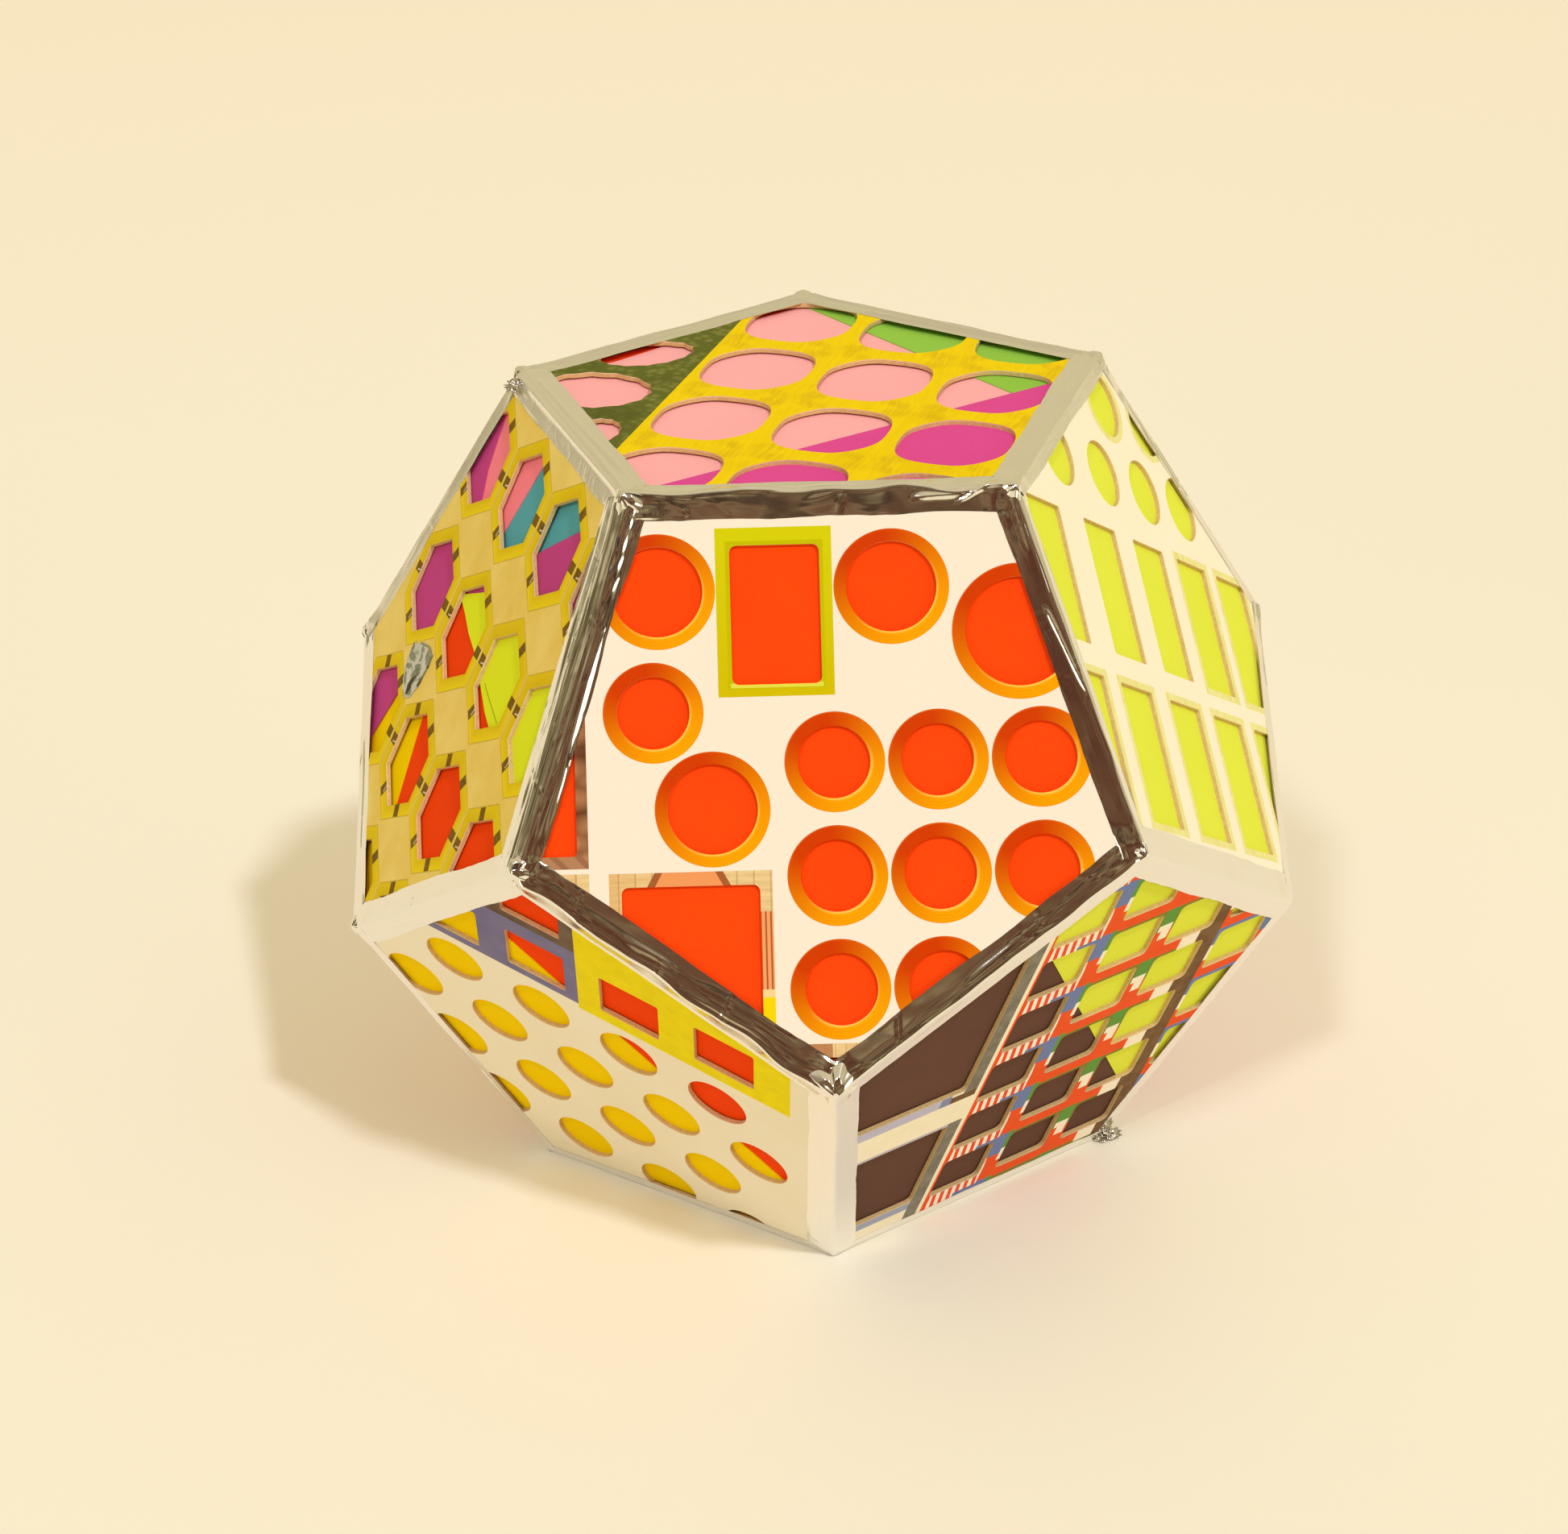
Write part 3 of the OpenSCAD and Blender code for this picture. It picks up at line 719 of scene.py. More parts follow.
def strip_grid(w_a, w_b, seed, rng, cols, rows):
    """Places on a strip in mm: X along the edge, S across it, above 0 on the first face."""
    third = rows // 3
    near = np.linspace(-1.9, 1.9, third)
    s = np.concatenate([np.linspace(-w_b, -2.2, third), near, np.linspace(2.2, w_a, third)])
    t = np.linspace(-1, 1, cols)
    t = np.sign(t) * (1 - (1 - np.abs(t)) ** 1.15)
    T, S = np.meshgrid(t, s, indexing="ij")
    cut = [rng.uniform(0.02, 0.40) for _ in range(4)]
    slope = np.where(T < 0, np.where(S < 0, cut[0], cut[1]), np.where(S < 0, cut[2], cut[3]))
    trim = 0.3 + slope * np.abs(S) + 0.3 * wave(S * 0.5, T * 0 + 3.1, seed * 1.7)
    X = T * (HALF_EDGE - np.clip(trim, 0.15, None))
    width = np.where(S < 0, w_b, w_a)
    sign = np.sign(S)
    ragged = 0.5 * wave(X / 22, sign * 9.0, seed * 2.3) + 0.10 * wave(X / 4.1, sign * 5.0, seed * 3.1)
    S = S + sign * ragged * smooth((np.abs(S) - 2.2) / (width - 2.2))
    return T, X, S, width


def strip_relief(T, X, S, width, w_a, w_b, seed, rng, rise, crease, cross, ridges, fold):
    """Height of the foil above the boards in mm: swellings, creases and gathers."""
    end = smooth((np.abs(T) - 0.80) / 0.14)
    h = 0.06 + np.where(T < 0, rise[0], rise[1]) * end
    near_fold = np.exp(-((np.abs(S) / 3.4) ** 2))
    h = h + 0.28 * (fold - FOLD) * smooth(1 - np.abs(S) / (1.8 * fold))
    h = h + 0.11 * crease * wave(X / 16.0, S / 8.0, seed + 0.4)
    fold_over = np.abs(wave(X / 13.0 + S / 9.0, S / 6.5, seed + 5.2))
    h = h + 0.035 * crease * tent(fold_over, 0.20) * smooth(wave(X / 24.0, S / 9.0, seed + 71.0) + 0.4)
    long_lines = np.abs(wave(X / 55.0, S / 2.2 + 0.3 * wave(X / 12.0, S * 0, seed + 8.8), seed + 15.0))
    h = h + 0.03 * crease * near_fold * tent(long_lines, 0.16)
    swell = wave(X / 60.0, S / 3.2, seed + 44.0) * smooth((2.2 * fold - np.abs(S)) / fold)
    h = h + 0.10 * max(fold - FOLD, 0) * swell
    h = h + 0.16 * end * np.abs(wave(X / 6.0, S / 4.5, seed + 12.5))
    if cross:
        gathered = smooth(wave(X / 17.0, S * 0, seed + 30.0) + 0.45) * smooth((14 - X) / 30)
        pleats = np.abs(wave(X / 1.5 + S * 0.35, S / 9.0, seed + 21.0))
        h = h + cross * gathered * pleats * smooth((S - 1.5) / 2.0)
    # creases along the strip: chance ones, then the ones that the photo shows
    for _ in range(int(3 * crease) + 1):
        x0 = rng.uniform(-HALF_EDGE, HALF_EDGE * 0.7)
        run = rng.uniform(14, 55)
        at = rng.choice((-1, 1)) * rng.uniform(0.8, 3.6)
        lean = rng.uniform(-0.03, 0.03)
        broad = rng.uniform(0.6, 1.0)
        h = h + ridge(X, S, at, lean, x0, x0 + run, broad, rng.uniform(0.05, 0.17) * crease)
    for x0, x1, at, lean, broad, height in ridges:
        h = h + ridge(X, S, at, lean, x0, x1, broad, height)
    # short slanting dents
    for _ in range(int(3 * crease) + 2):
        px, angle = rng.uniform(-HALF_EDGE, HALF_EDGE), rng.uniform(0.9, 2.2)
        du, dv = X - px, S - rng.uniform(-w_b, w_a)
        a = du * math.cos(angle) + dv * math.sin(angle)
        b = dv * math.cos(angle) - du * math.sin(angle)
        height, broad, run = rng.uniform(0.05, 0.20), rng.uniform(0.5, 0.9), rng.uniform(4, 12)
        h = h + height * tent(b, broad) * smooth(1 - np.abs(a) / run)
    h = np.where(np.abs(S) > width - 0.45, np.minimum(h, 0.09), h)
    return np.clip(h, 0.03, 1.5)


def strip_parts(
    face, side, w_a, w_b, seed, rise=(0.12, 0.12), crease=1.0, cross=0.0,
    ridges=(), fold=FOLD, lip=LIP, cols=COLS,
):
    """Vertices, quads and strip coordinates of one creased strip over an edge. Widths are in mm."""
    rng = random.Random(seed)
    middle, along, in_a, out_a, in_b, out_b = edge_axes(face, side)
    T, X, S, width = strip_grid(w_a, w_b, seed, rng, cols, STRIP_ROWS)
    h = strip_relief(T, X, S, width, w_a, w_b, seed, rng, rise, crease, cross, ridges, fold)
    # a small round over the fold
    inside = np.clip(S / fold, -1, 1)
    k = (inside + 1) / 2
    mid = np.abs(S) < fold
    a_len = np.where(mid, fold * k**2, np.where(S > 0, S, 0)) / 1000
    b_len = np.where(mid, fold * (1 - k) ** 2, np.where(S < 0, -S, 0)) / 1000
    wa = np.where(mid, smooth(k), (S > 0).astype(float))
    normal = wa[..., None] * out_a + (1 - wa)[..., None] * out_b
    normal = normal / np.linalg.norm(normal, axis=-1, keepdims=True)
    P = middle + (X / 1000)[..., None] * along + a_len[..., None] * in_a + b_len[..., None] * in_b
    P = P + (h / 1000)[..., None] * normal
    # loose foil stands out past the edge in the plane of the first face, then runs back to the other
    out_by = lip * (0.75 + 0.6 * wave(X / 16.0, X * 0, seed + 60.0)) * smooth((1 - np.abs(T)) / 0.08) / 1000
    share = np.where(S > 0, 1 - np.clip(S / w_a, 0, 1), 1 - np.clip(-S / (w_b * 0.8), 0, 1))
    P = P - (np.clip(out_by, 0, None) * share)[..., None] * in_a
    P[..., 2] = np.clip(P[..., 2], STRIP_GAP, None)
    info = np.stack([X, S, np.full_like(X, seed * 3.7)], axis=-1)
    return P.reshape(-1, 3), grid_quads(*X.shape), info.reshape(-1, 3)


def build(name, parts, material):
    """One object from several (vertices, faces, along) parts."""
    verts, faces, along, base = [], [], [], 0
    for v, f, a in parts:
        verts += [tuple(p) for p in v]
        faces += [tuple(i + base for i in q) for q in f]
        along += [tuple(p) for p in a]
        base += len(v)
    mesh = bpy.data.meshes.new(name)
    mesh.from_pydata(verts, [], faces)
    mesh.update()
    layer = mesh.attributes.new("along", "FLOAT_VECTOR", "POINT")
    layer.data.foreach_set("vector", np.array(along, dtype=np.float32).ravel())
    mesh.polygons.foreach_set("use_smooth", [True] * len(mesh.polygons))
    obj = placed(name, mesh)
    obj.data.materials.append(material)
    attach(obj, "root")
    return obj


# node: (face, side of that face, width on it, width on the other, crease, cross wrinkles)
STRIPS = {
    "tape_top_front": ("front", 90, 7, 7.5, 1.3, 0),
    "tape_top_right": ("right", 90, 4.5, 8, 0.5, 0),
    "tape_top_back_right": ("back_right", 90, 8, 8, 1.5, 0),
    "tape_top_back_left": ("back_left", 90, 8, 8, 1.3, 0),
    "tape_top_left": ("left", 90, 7, 8.5, 1.0, 0.14),
    "tape_front_right": ("front", 18, 7, 4.5, 1.1, 0),
    "tape_right_back_right": ("right", 18, 4.5, 8, 1.2, 0),
    "tape_back_right_back_left": ("back_right", 18, 8, 8, 1.0, 0),
    "tape_back_left_left": ("back_left", 18, 8, 6.5, 1.2, 0),
    "tape_left_front": ("left", 18, 11, 7, 2.0, 0),
    "tape_front_lower_left": ("front", -126, 7, 10, 1.4, 0),
    "tape_front_lower_right": ("front", -54, 7, 8, 1.0, 0),
    "tape_right_lower_right": ("right", -126, 9, 8, 0.6, 0),
    "tape_right_lower_back_right": ("right", -54, 5, 8, 1.2, 0),
    "tape_back_right_lower_back_right": ("back_right", -126, 8, 8, 1.0, 0),
    "tape_back_right_lower_back": ("back_right", -54, 8, 8, 1.0, 0.2),
    "tape_back_left_lower_back": ("back_left", -126, 8, 8, 1.2, 0),
    "tape_back_left_lower_back_left": ("back_left", -54, 8, 8, 0.9, 0),
    "tape_left_lower_back_left": ("left", -126, 7, 8, 1.2, 0),
    "tape_left_lower_left": ("left", -54, 7, 8, 0.7, 0),
    "tape_lower_left_lower_right": ("lower_left", -18, 9, 8, 0.7, 0),
    "tape_lower_right_lower_back_right": ("lower_right", -18, 5, 8, 1.5, 0),
    "tape_lower_back_left_lower_left": ("lower_back_left", -18, 8, 4, 0.9, 0),
}

PAINTS = {
    "top": paint_top,
    "front": paint_front,
    "right": paint_right,
    "back_right": paint_back_right,
    "back_left": paint_back_left,
    "left": paint_left,
    "lower_left": paint_lower_left,
    "lower_right": paint_lower_right,
    "lower_back_right": paint_lower_back_right,
    "lower_back": paint_lower_back,
    "lower_back_left": paint_lower_back_left,
    "base": paint_base,
}

for face in FACES:
    material = board_material(face, PAINTS[face])
    for slot in nodes["board_" + face].material_slots:
        slot.material = material
for name, obj in nodes.items():
    if name.startswith("card_"):
        face, colour = name[5:].rsplit("_", 1)
        material = card_material(colour, face)
        for slot in obj.material_slots:
            slot.material = material

# creases seen on particular strips: from, to, place across, slant, breadth, height (mm)
RIDGES = {
    "tape_top_front": [
        (-32, 26, -2.6, 0.05, 2.4, 0.8), (-55, -22, 1.2, -0.02, 0.8, 0.2),
        (-50, -36, 2.0, 0.5, 1.0, 0.6), (-42, -24, 2.6, 0.12, 1.8, 0.7),
    ],
    "tape_left_front": [
        (-56, 30, 2.0, 0.022, 0.7, 0.40), (-40, 56, 4.2, -0.030, 0.8, 0.45), (-56, 24, 6.6, 0.035, 0.9, 0.40),
        (-20, 56, 8.4, -0.015, 0.9, 0.30), (-10, 56, -1.4, 0.010, 0.6, 0.22),
    ],
    "tape_front_right": [(-30, 56, 0.6, 0.010, 0.8, 0.25), (-8, 22, 2.2, 0.10, 0.9, 0.4)],
    "tape_front_lower_left": [(-56, 0, 3.2, 0.012, 1.4, 0.16), (-20, 40, 4.6, 0.05, 1.6, 0.18)],
    "tape_front_lower_right": [(-56, 30, 1.6, -0.02, 1.2, 0.12), (-10, 56, 3.6, 0.03, 1.4, 0.14)],
    "tape_top_left": [
        (-56, 56, 1.2, 0.01, 1.2, 0.25), (-40, 46, -3.8, 0.03, 1.6, 0.5), (-56, 20, -1.8, -0.02, 1.0, 0.2),
    ],
    "tape_top_back_left": [(-54, 54, -1.6, 0.01, 1.2, 0.45), (-45, 30, -4.4, -0.03, 1.4, 0.4)],
    "tape_top_back_right": [(-54, 54, -1.4, -0.01, 1.2, 0.5), (-30, 50, -4.0, 0.04, 1.4, 0.5)],
}
# strips that bulge over their edge have a broader fold
FOLDS = {"tape_left_front": 4.6, "tape_top_front": 0.8, "tape_front_lower_right": 0.8, "tape_top_left": 1.6}
LIPS = {
    "tape_front_lower_left": 2.6,
    "tape_top_front": 1.3,
    "tape_front_lower_right": 0.9,
    "tape_front_right": 0.5,
    "tape_left_front": 0.0,
}
# strips that are finely wrinkled and look like satin
SATIN = ("tape_top_left", "tape_top_right", "tape_back_left_left")
# how far the ends of a strip stand up, one after another (mm)
RISES = (0.08, 0.18, 0.28)

foil = foil_material("foil_tape", (0.92, 0.90, 0.86, 1.0), 0.08)
satin = foil_material("foil_satin", (0.97, 0.94, 0.90, 1.0), 0.27)
for k, (name, (face, side, w_a, w_b, crease, cross)) in enumerate(STRIPS.items()):
    rise = (RISES[k % 3], RISES[(k + 1) % 3])
    fold, lip, ridges = FOLDS.get(name, FOLD), LIPS.get(name, LIP), RIDGES.get(name, ())
    cols = COLS_PLEATED if cross else COLS
    parts = [strip_parts(face, side, w_a, w_b, 11 + 3 * k, rise, crease, cross, ridges, fold, lip, cols)]
    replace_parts(build("foil_" + name[5:], parts, satin if name in SATIN else foil), name)
rear = [strip_parts(f, -18, 8, 8, 201 + 7 * i) for i, f in enumerate(("lower_back_right", "lower_back"))]
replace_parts(build("foil_lower_rear", rear, foil), "tape_lower_rear")
lowers = ("lower_left", "lower_right", "lower_back_right", "lower_back", "lower_back_left")
under = [strip_parts(f, -90, 4, 8, 301 + 5 * i, (0.1, 0.3), crease=0.6) for i, f in enumerate(lowers)]
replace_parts(build("foil_base", under, foil), "tape_base")

# ---------------------------------------------------------------- torn scrap, corner folds and tufts


def patch_parts(face, outline, seed, rings=16):
    """A torn scrap with creases, lying on a face. Outline is in mm on the face."""
    centre, right, up, out = face_axes(face)
    pts = np.array(outline, float)
    mid = pts.mean(axis=0)
    dense = []
    for a, b in zip(pts, np.roll(pts, -1, axis=0)):
        for t in np.linspace(0, 1, 7)[:-1]:
            dense.append(a + (b - a) * t)
    dense = np.array(dense)
    jag = 1 + 0.035 * wave(dense[:, 0] * 1.3, dense[:, 1] * 1.3, seed)
    dense = mid + (dense - mid) * jag[:, None]
    n = len(dense)
    grid = np.array([mid + (dense - mid) * r for r in np.linspace(0.02, 1, rings)])
    x, y = grid[..., 0], grid[..., 1]
    h = 0.25 + 0.30 * wave(x / 4.2, y / 6.5, seed + 2) + 0.05 * wave(x / 1.6, y / 2.6, seed + 4)
    rng = random.Random(seed)
    for _ in range(16):
        px, py, angle = rng.uniform(-9, 9) + mid[0], rng.uniform(-9, 9) + mid[1], rng.uniform(0, 3.1)
        b = (y - py) * math.cos(angle) - (x - px) * math.sin(angle)
        a = (x - px) * math.cos(angle) + (y - py) * math.sin(angle)
        h = h + rng.uniform(0.1, 0.32) * tent(b, rng.uniform(0.6, 1.3)) * tent(a, rng.uniform(4, 10))
    h = np.clip(h, 0.05, 1.2)
    h[-1] = np.minimum(h[-1], 0.18)
    P = centre + (x / 1000)[..., None] * right + (y / 1000)[..., None] * up + (h / 1000)[..., None] * out
    quads = [
        (r * n + i, r * n + (i + 1) % n, (r + 1) * n + (i + 1) % n, (r + 1) * n + i)
        for r in range(rings - 1)
        for i in range(n)
    ]
    quads.append(tuple(range(n)))
    info = np.stack([x * 2.5, y * 2.5, np.full_like(x, seed)], axis=-1)
    return P.reshape(-1, 3), quads, info.reshape(-1, 3)


PATCH = [
    (-45, -13.5), (-42.5, -14.5), (-39.5, -12), (-32, -10.6), (-27.4, -11.6), (-26.8, -15),
    (-28.5, -22.5), (-31, -27.5), (-35, -29.8), (-39.5, -28.6), (-44, -23.5), (-46, -18),
]
patch_foil = foil_material("foil_scrap", (0.50, 0.53, 0.50, 1.0), 0.12)
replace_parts(build("foil_scrap_left", [patch_parts("left", PATCH, 77)], patch_foil), "foil_patch")


def corner(azimuth, level):
    """A corner of the solid: level is top, upper, lower or bottom."""
    ring = EDGE / (2 * math.sin(math.radians(36)))
    height = {"top": INRADIUS * 2, "upper": INRADIUS * 2 - ring, "lower": ring, "bottom": 0}[level]
    radius = ring if level in ("top", "bottom") else ring * GOLDEN
    a = math.radians(azimuth)
    return np.array([radius * math.cos(a), radius * math.sin(a), height + LIFT])


def cap_parts(at, reach, tall, count, seed, steps=54, rings=22):
    """Folded tape ends over a corner: flat facets, highest in the middle, flush at the torn rim."""
    rng = random.Random(seed)
    meet = [face_axes(f)[3] for f in FACES if abs((at - face_axes(f)[0]) @ face_axes(f)[3]) < 1e-6]
    edges = []
    for i in range(3):
        e = np.cross(meet[i], meet[(i + 1) % 3])
        e = e / np.linalg.norm(e)
        edges.append(-e if e @ meet[(i + 2) % 3] > 0 else e)
    out = at - CENTRE
    out = out / np.linalg.norm(out)
    side = np.cross(out, (0.3, 0.2, 0.93))
    side = side / np.linalg.norm(side)
    third = np.cross(out, side)
    tangents = []
    for _ in range(count):
        a, r = rng.uniform(0, 2 * math.pi), rng.uniform(0.12, 0.85) * reach
        tangents.append((side * math.cos(a) + third * math.sin(a)) * r)
    bend = tall / reach**2
    corner_angle = math.radians(108)
    verts, info = [], []
    for i in range(3 * steps):
        k, t = divmod(i / steps, 1)
        k = int(k)
        # this sector lies on face k + 1, between its edges with faces k and k + 2
        normal, before, after = meet[(k + 1) % 3], meet[k], meet[(k + 2) % 3]
        first, second = edges[k], edges[(k + 1) % 3]
        way = math.sin((1 - t) * corner_angle) * first + math.sin(t * corner_angle) * second
        way = way / math.sin(corner_angle)
        rim = reach * (0.82 + 0.34 * noise.noise(Vector((way[0] * 2.3, way[1] * 2.3, way[2] * 2.3 + seed))))
        for j in range(rings):
            r = rim * (j + 0.15) / (rings - 0.85)
            p = way * r
            h = tall - max(2 * bend * float(q @ p) - bend * float(q @ q) for q in tangents)
            h += 0.05 * noise.noise(Vector((p[0] / 1.9, p[1] / 1.9, p[2] / 1.9 + seed)))
            h = max(min(h, (rim - r) * 0.38 + 0.12), 0.12)
            near_first = math.exp(-((r * math.sin(t * corner_angle) / 1.1) ** 2)) if t < 0.5 else 0.0
            near_second = math.exp(-((r * math.sin((1 - t) * corner_angle) / 1.1) ** 2)) if t > 0.5 else 0.0
            lift = normal + near_first * before + near_second * after
            lift = lift / np.linalg.norm(lift)
            v = at + p / 1000 + lift * h / 1000
            v[2] = max(v[2], CRUMPLE_GAP)
            verts.append(v)
            info.append((p[0] * 1.3 + p[2], p[1] * 1.3 - p[2], seed))
    n = 3 * steps
    faces = [
        (i * rings + j, i * rings + j + 1, (i + 1) % n * rings + j + 1, (i + 1) % n * rings + j)
        for i in range(n)
        for j in range(rings - 1)
    ]
    faces.append(tuple(i * rings for i in range(n)))
    return np.array(verts), faces, np.array(info, float)


def knob_parts(at, radii, seed, steps=30):
    """A pinched lump of foil: a small crumpled ball with sharp folds."""
    verts, faces, info = [], [], []
    for i in range(steps + 1):
        for j in range(steps):
            lat, lon = math.pi * i / steps, 2 * math.pi * j / steps
            d = Vector((math.sin(lat) * math.cos(lon), math.sin(lat) * math.sin(lon), math.cos(lat)))
            broad = abs(noise.noise(d * 1.3 + Vector((seed, 0, 0))))
            sharp = abs(noise.noise(d * 2.7 + Vector((0, seed, 0))))
            r = 1.15 - min(broad * 1.5 + sharp * 0.5, 0.75)
            p = at + np.array([d[a] * radii[a] * r for a in range(3)])
            p[2] = max(p[2], CRUMPLE_GAP)
            verts.append(p)
            info.append((d[0] * 8, d[1] * 8, seed + d[2]))
    for i in range(steps):
        for j in range(steps):
            a, b = i * steps + j, i * steps + (j + 1) % steps
            faces.append((a, a + steps, b + steps, b))
    return np.array(verts), faces, np.array(info, float)


# corner, reach and height of the folded ends (mm), number of facets, seed
caps = [
    cap_parts(corner(-126, "top"), 7.0, 1.6, 10, 21),
    cap_parts(corner(-54, "top"), 4.5, 0.9, 6, 33),
    cap_parts(corner(-90, "lower"), 10.0, 1.9, 7, 28),
    cap_parts(corner(-126, "upper"), 6.5, 1.2, 13, 41),
    cap_parts(corner(-54, "upper"), 4.5, 0.9, 6, 45),
    cap_parts(corner(162, "top"), 5.0, 1.0, 7, 51),
    cap_parts(corner(90, "top"), 5.0, 1.0, 7, 57),
    cap_parts(corner(18, "top"), 5.0, 0.9, 7, 63),
    cap_parts(corner(162, "upper"), 4.5, 0.8, 6, 69),
    cap_parts(corner(-162, "lower"), 4.5, 0.8, 6, 75),
]
build("foil_corner_folds", caps, foil)
# two crumpled lumps stand out, one at the top and one at the foot
tufts = [
    knob_parts(corner(162, "top") + np.array([-0.0006, -0.0046, -0.0036]), (0.0040, 0.0030, 0.0024), 5),
    knob_parts(corner(-18, "bottom") + np.array([0.0018, -0.0006, 0.0012]), (0.0044, 0.0034, 0.0026), 9),
    knob_parts(corner(-18, "bottom") + np.array([-0.0008, -0.0026, 0.0008]), (0.0024, 0.0026, 0.0016), 13),
]
build("foil_corner_tufts", tufts, foil_material("foil_tufts", (0.58, 0.54, 0.46, 1.0), 0.16))

# ---------------------------------------------------------------- floor


def flat_grid(name, size, steps, z):
    mesh = bpy.data.meshes.new(name)
    c = np.linspace(-size, size, steps)
    verts = [(x, y, z) for x in c for y in c]
    mesh.from_pydata(verts, [], grid_quads(steps, steps))
    mesh.update()
    obj = placed(name, mesh)
    return obj


def floor_material():
    """Pale cream card, painted a little darker away from the middle: painted fall-off of the light, which is
    brighter near the object.
    """
    material, shader = new_material("floor_card")
    place = object_position()
    x, y = dotted(place, (1, 0, 0), 0.0), dotted(place, (0, 1, 0), 0.0)
    # painted light: lighter near the object and darker further out, for the light falling off
    far = ramp(root(x * x + y * y), 0.30, 1.50)
    c = mixed(far, srgb(250, 243, 220), srgb(249, 238, 210))
    feed(c, shader.inputs["Base Color"])
    shader.inputs["Roughness"].default_value = 0.6
    shader.inputs["Specular IOR Level"].default_value = 0.2
    return material


floor = flat_grid("floor", 2.6, 9, 0.0)
floor.data.materials.append(floor_material())

# ---------------------------------------------------------------- light

WORLD_STRENGTH = 0.762


def surroundings():
    """What lights the object from all round and shows in the foil, as a colour by direction."""
    direction = Num.tree.nodes.new("ShaderNodeTexCoord").outputs["Generated"]
    across = dotted(direction, (1.0, 0.0, 0.0), 0.0)
    toward = dotted(direction, (0.0, -1.0, 0.0), 0.0)
    high = dotted(direction, (0.0, 0.0, 1.0), 0.0)
    # cream walls and ceiling with faint darker patches
    c = mixed(ramp(high, -0.1, 0.9), srgb(238, 226, 172), srgb(252, 234, 192))
    c = mixed(ramp(noise_value(direction, 2.3, 2), 0.40, 0.62) * 0.26, c, srgb(150, 138, 104))
    # a dark room in front
    room = ramp(toward, 0.35, 0.75) * ramp(high, -0.02, 0.06) * (1.0 - ramp(high, 0.66, 0.86))
    streak = noise_value(combined(across * 4.6, high * 8.0), 1.0, 3)
    dark = mixed(ramp(streak, 0.40, 0.62), srgb(62, 36, 26), srgb(186, 162, 118))
    warm = ramp(noise_value(combined(across * 2.6, high * 4.0, 4.0), 1.0, 2), 0.46, 0.56)
    dark = mixed(warm * 0.65, dark, srgb(116, 66, 46))
    c = mixed(room, c, dark)
    # furniture to the left, seen only as long streaks in the bulging tape
    left = 0.0 - across
    bands = noise_value(combined(toward * 3.4, high * 0.6, 7.0), 1.0, 2)
    left_room = mixed(ramp(bands, 0.42, 0.52), srgb(44, 38, 34), srgb(132, 108, 62))
    left_room = mixed(ramp(bands, 0.56, 0.62), left_room, srgb(192, 170, 112))
    left_side = ramp(left, 0.50, 0.62) * ramp(toward, -0.50, -0.40)
    left_side = left_side * ramp(high, -0.16, -0.08) * (1.0 - ramp(high, 0.42, 0.55))
    c = mixed(left_side * 0.9, c, left_room)
    low_left = ramp(left, 0.45, 0.60) * ramp(toward, -0.85, -0.75)
    low_left = low_left * ramp(high, -0.12, -0.08) * (1.0 - ramp(high, 0.06, 0.16))
    blots = ramp(noise_value(combined(toward * 6.0, high * 7.0, 11.0), 1.0, 2), 0.44, 0.56)
    return mixed(low_left * (blots * 0.55 + 0.12), c, srgb(104, 94, 68))


world = bpy.data.worlds.new("studio")
bpy.context.scene.world = world
world.use_nodes = True
tree = world.node_tree
tree.nodes.clear()
Num.tree = tree
back = tree.nodes.new("ShaderNodeBackground")
tree.links.new(surroundings(), back.inputs[0])
back.inputs[1].default_value = WORLD_STRENGTH
tree.links.new(back.outputs[0], tree.nodes.new("ShaderNodeOutputWorld").inputs[0])


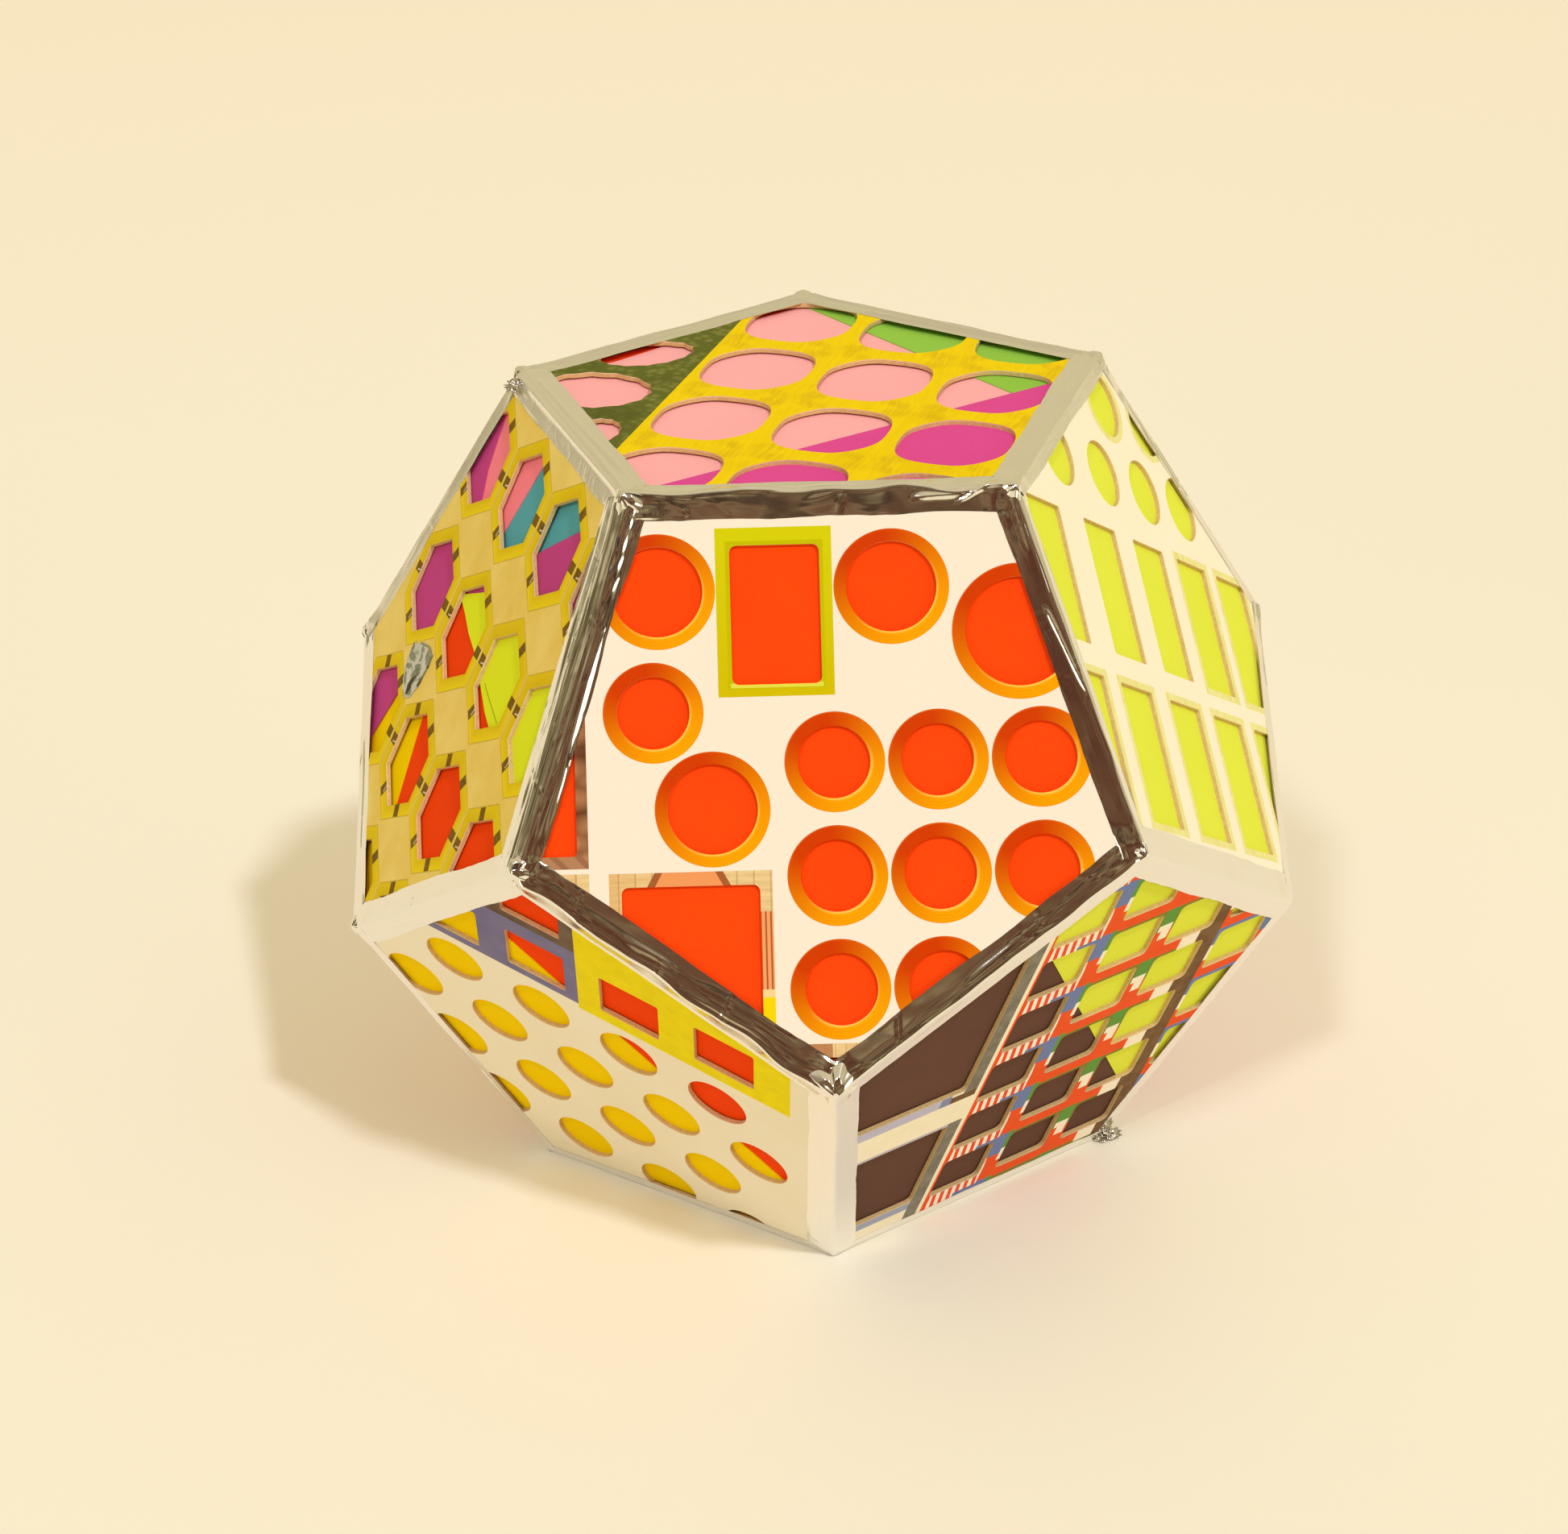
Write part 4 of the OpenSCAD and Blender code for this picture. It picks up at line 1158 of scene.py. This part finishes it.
def sun(name, azimuth, elevation, strength, angle, colour):
    """A lamp from that direction; a larger angle gives softer shadows."""
    light = bpy.data.lights.new(name, "SUN")
    light.energy = strength
    light.angle = math.radians(angle)
    light.color = colour
    obj = placed(name, light)
    a, e = math.radians(azimuth), math.radians(elevation)
    to = Vector((math.cos(e) * math.cos(a), math.cos(e) * math.sin(a), math.sin(e)))
    obj.rotation_euler = to.to_track_quat("Z", "Y").to_euler()


COOL = (0.78, 0.82, 0.97)
sun("key", -60, 50, 1.40, 4.0, COOL)
sun("key_left", -112, 48, 0.84, 6.0, COOL)
sun("fill_right", -35, 6, 0.50, 30.0, (1.0, 0.95, 0.78))
sun("fill_left", -125, 5, 0.40, 30.0, (1.0, 0.95, 0.76))

# ---------------------------------------------------------------- camera

# direction the camera looks from, its roll and its aim, in degrees, as fitted to the photo
AZIMUTH = -1.327
ELEVATION = 26.361
ROLL = -0.940
AIM_UP = 0.0778
AIM_SIDE = -0.526
# distance from the middle of the solid, in edges, and focal length in mm
DISTANCE = 10.568
LENS = 84.9

camera_data = bpy.data.cameras.new("camera")
camera = placed("camera", camera_data)
bpy.context.scene.camera = camera
camera_data.sensor_width = 36.0
camera_data.sensor_fit = "HORIZONTAL"
camera_data.lens = LENS
camera_data.clip_end = 50
az, el, roll = (math.radians(a) for a in (AZIMUTH, ELEVATION, ROLL))
back_axis = Vector((math.sin(az) * math.cos(el), -math.cos(az) * math.cos(el), math.sin(el)))
right_axis = Vector((math.cos(az), math.sin(az), 0))
up_axis = back_axis.cross(right_axis)
x_axis = right_axis * math.cos(roll) + up_axis * math.sin(roll)
y_axis = up_axis * math.cos(roll) - right_axis * math.sin(roll)
turn = Matrix((x_axis, y_axis, back_axis)).transposed()
aim = Matrix.Rotation(math.radians(AIM_UP), 3, "X") @ Matrix.Rotation(math.radians(AIM_SIDE), 3, "Y")
camera.matrix_world = (turn @ aim.transposed()).to_4x4()
camera.location = Vector(CENTRE) + back_axis * (DISTANCE * EDGE)

bpy.context.scene.view_settings.view_transform = "Standard"

bpy.context.view_layer.update()
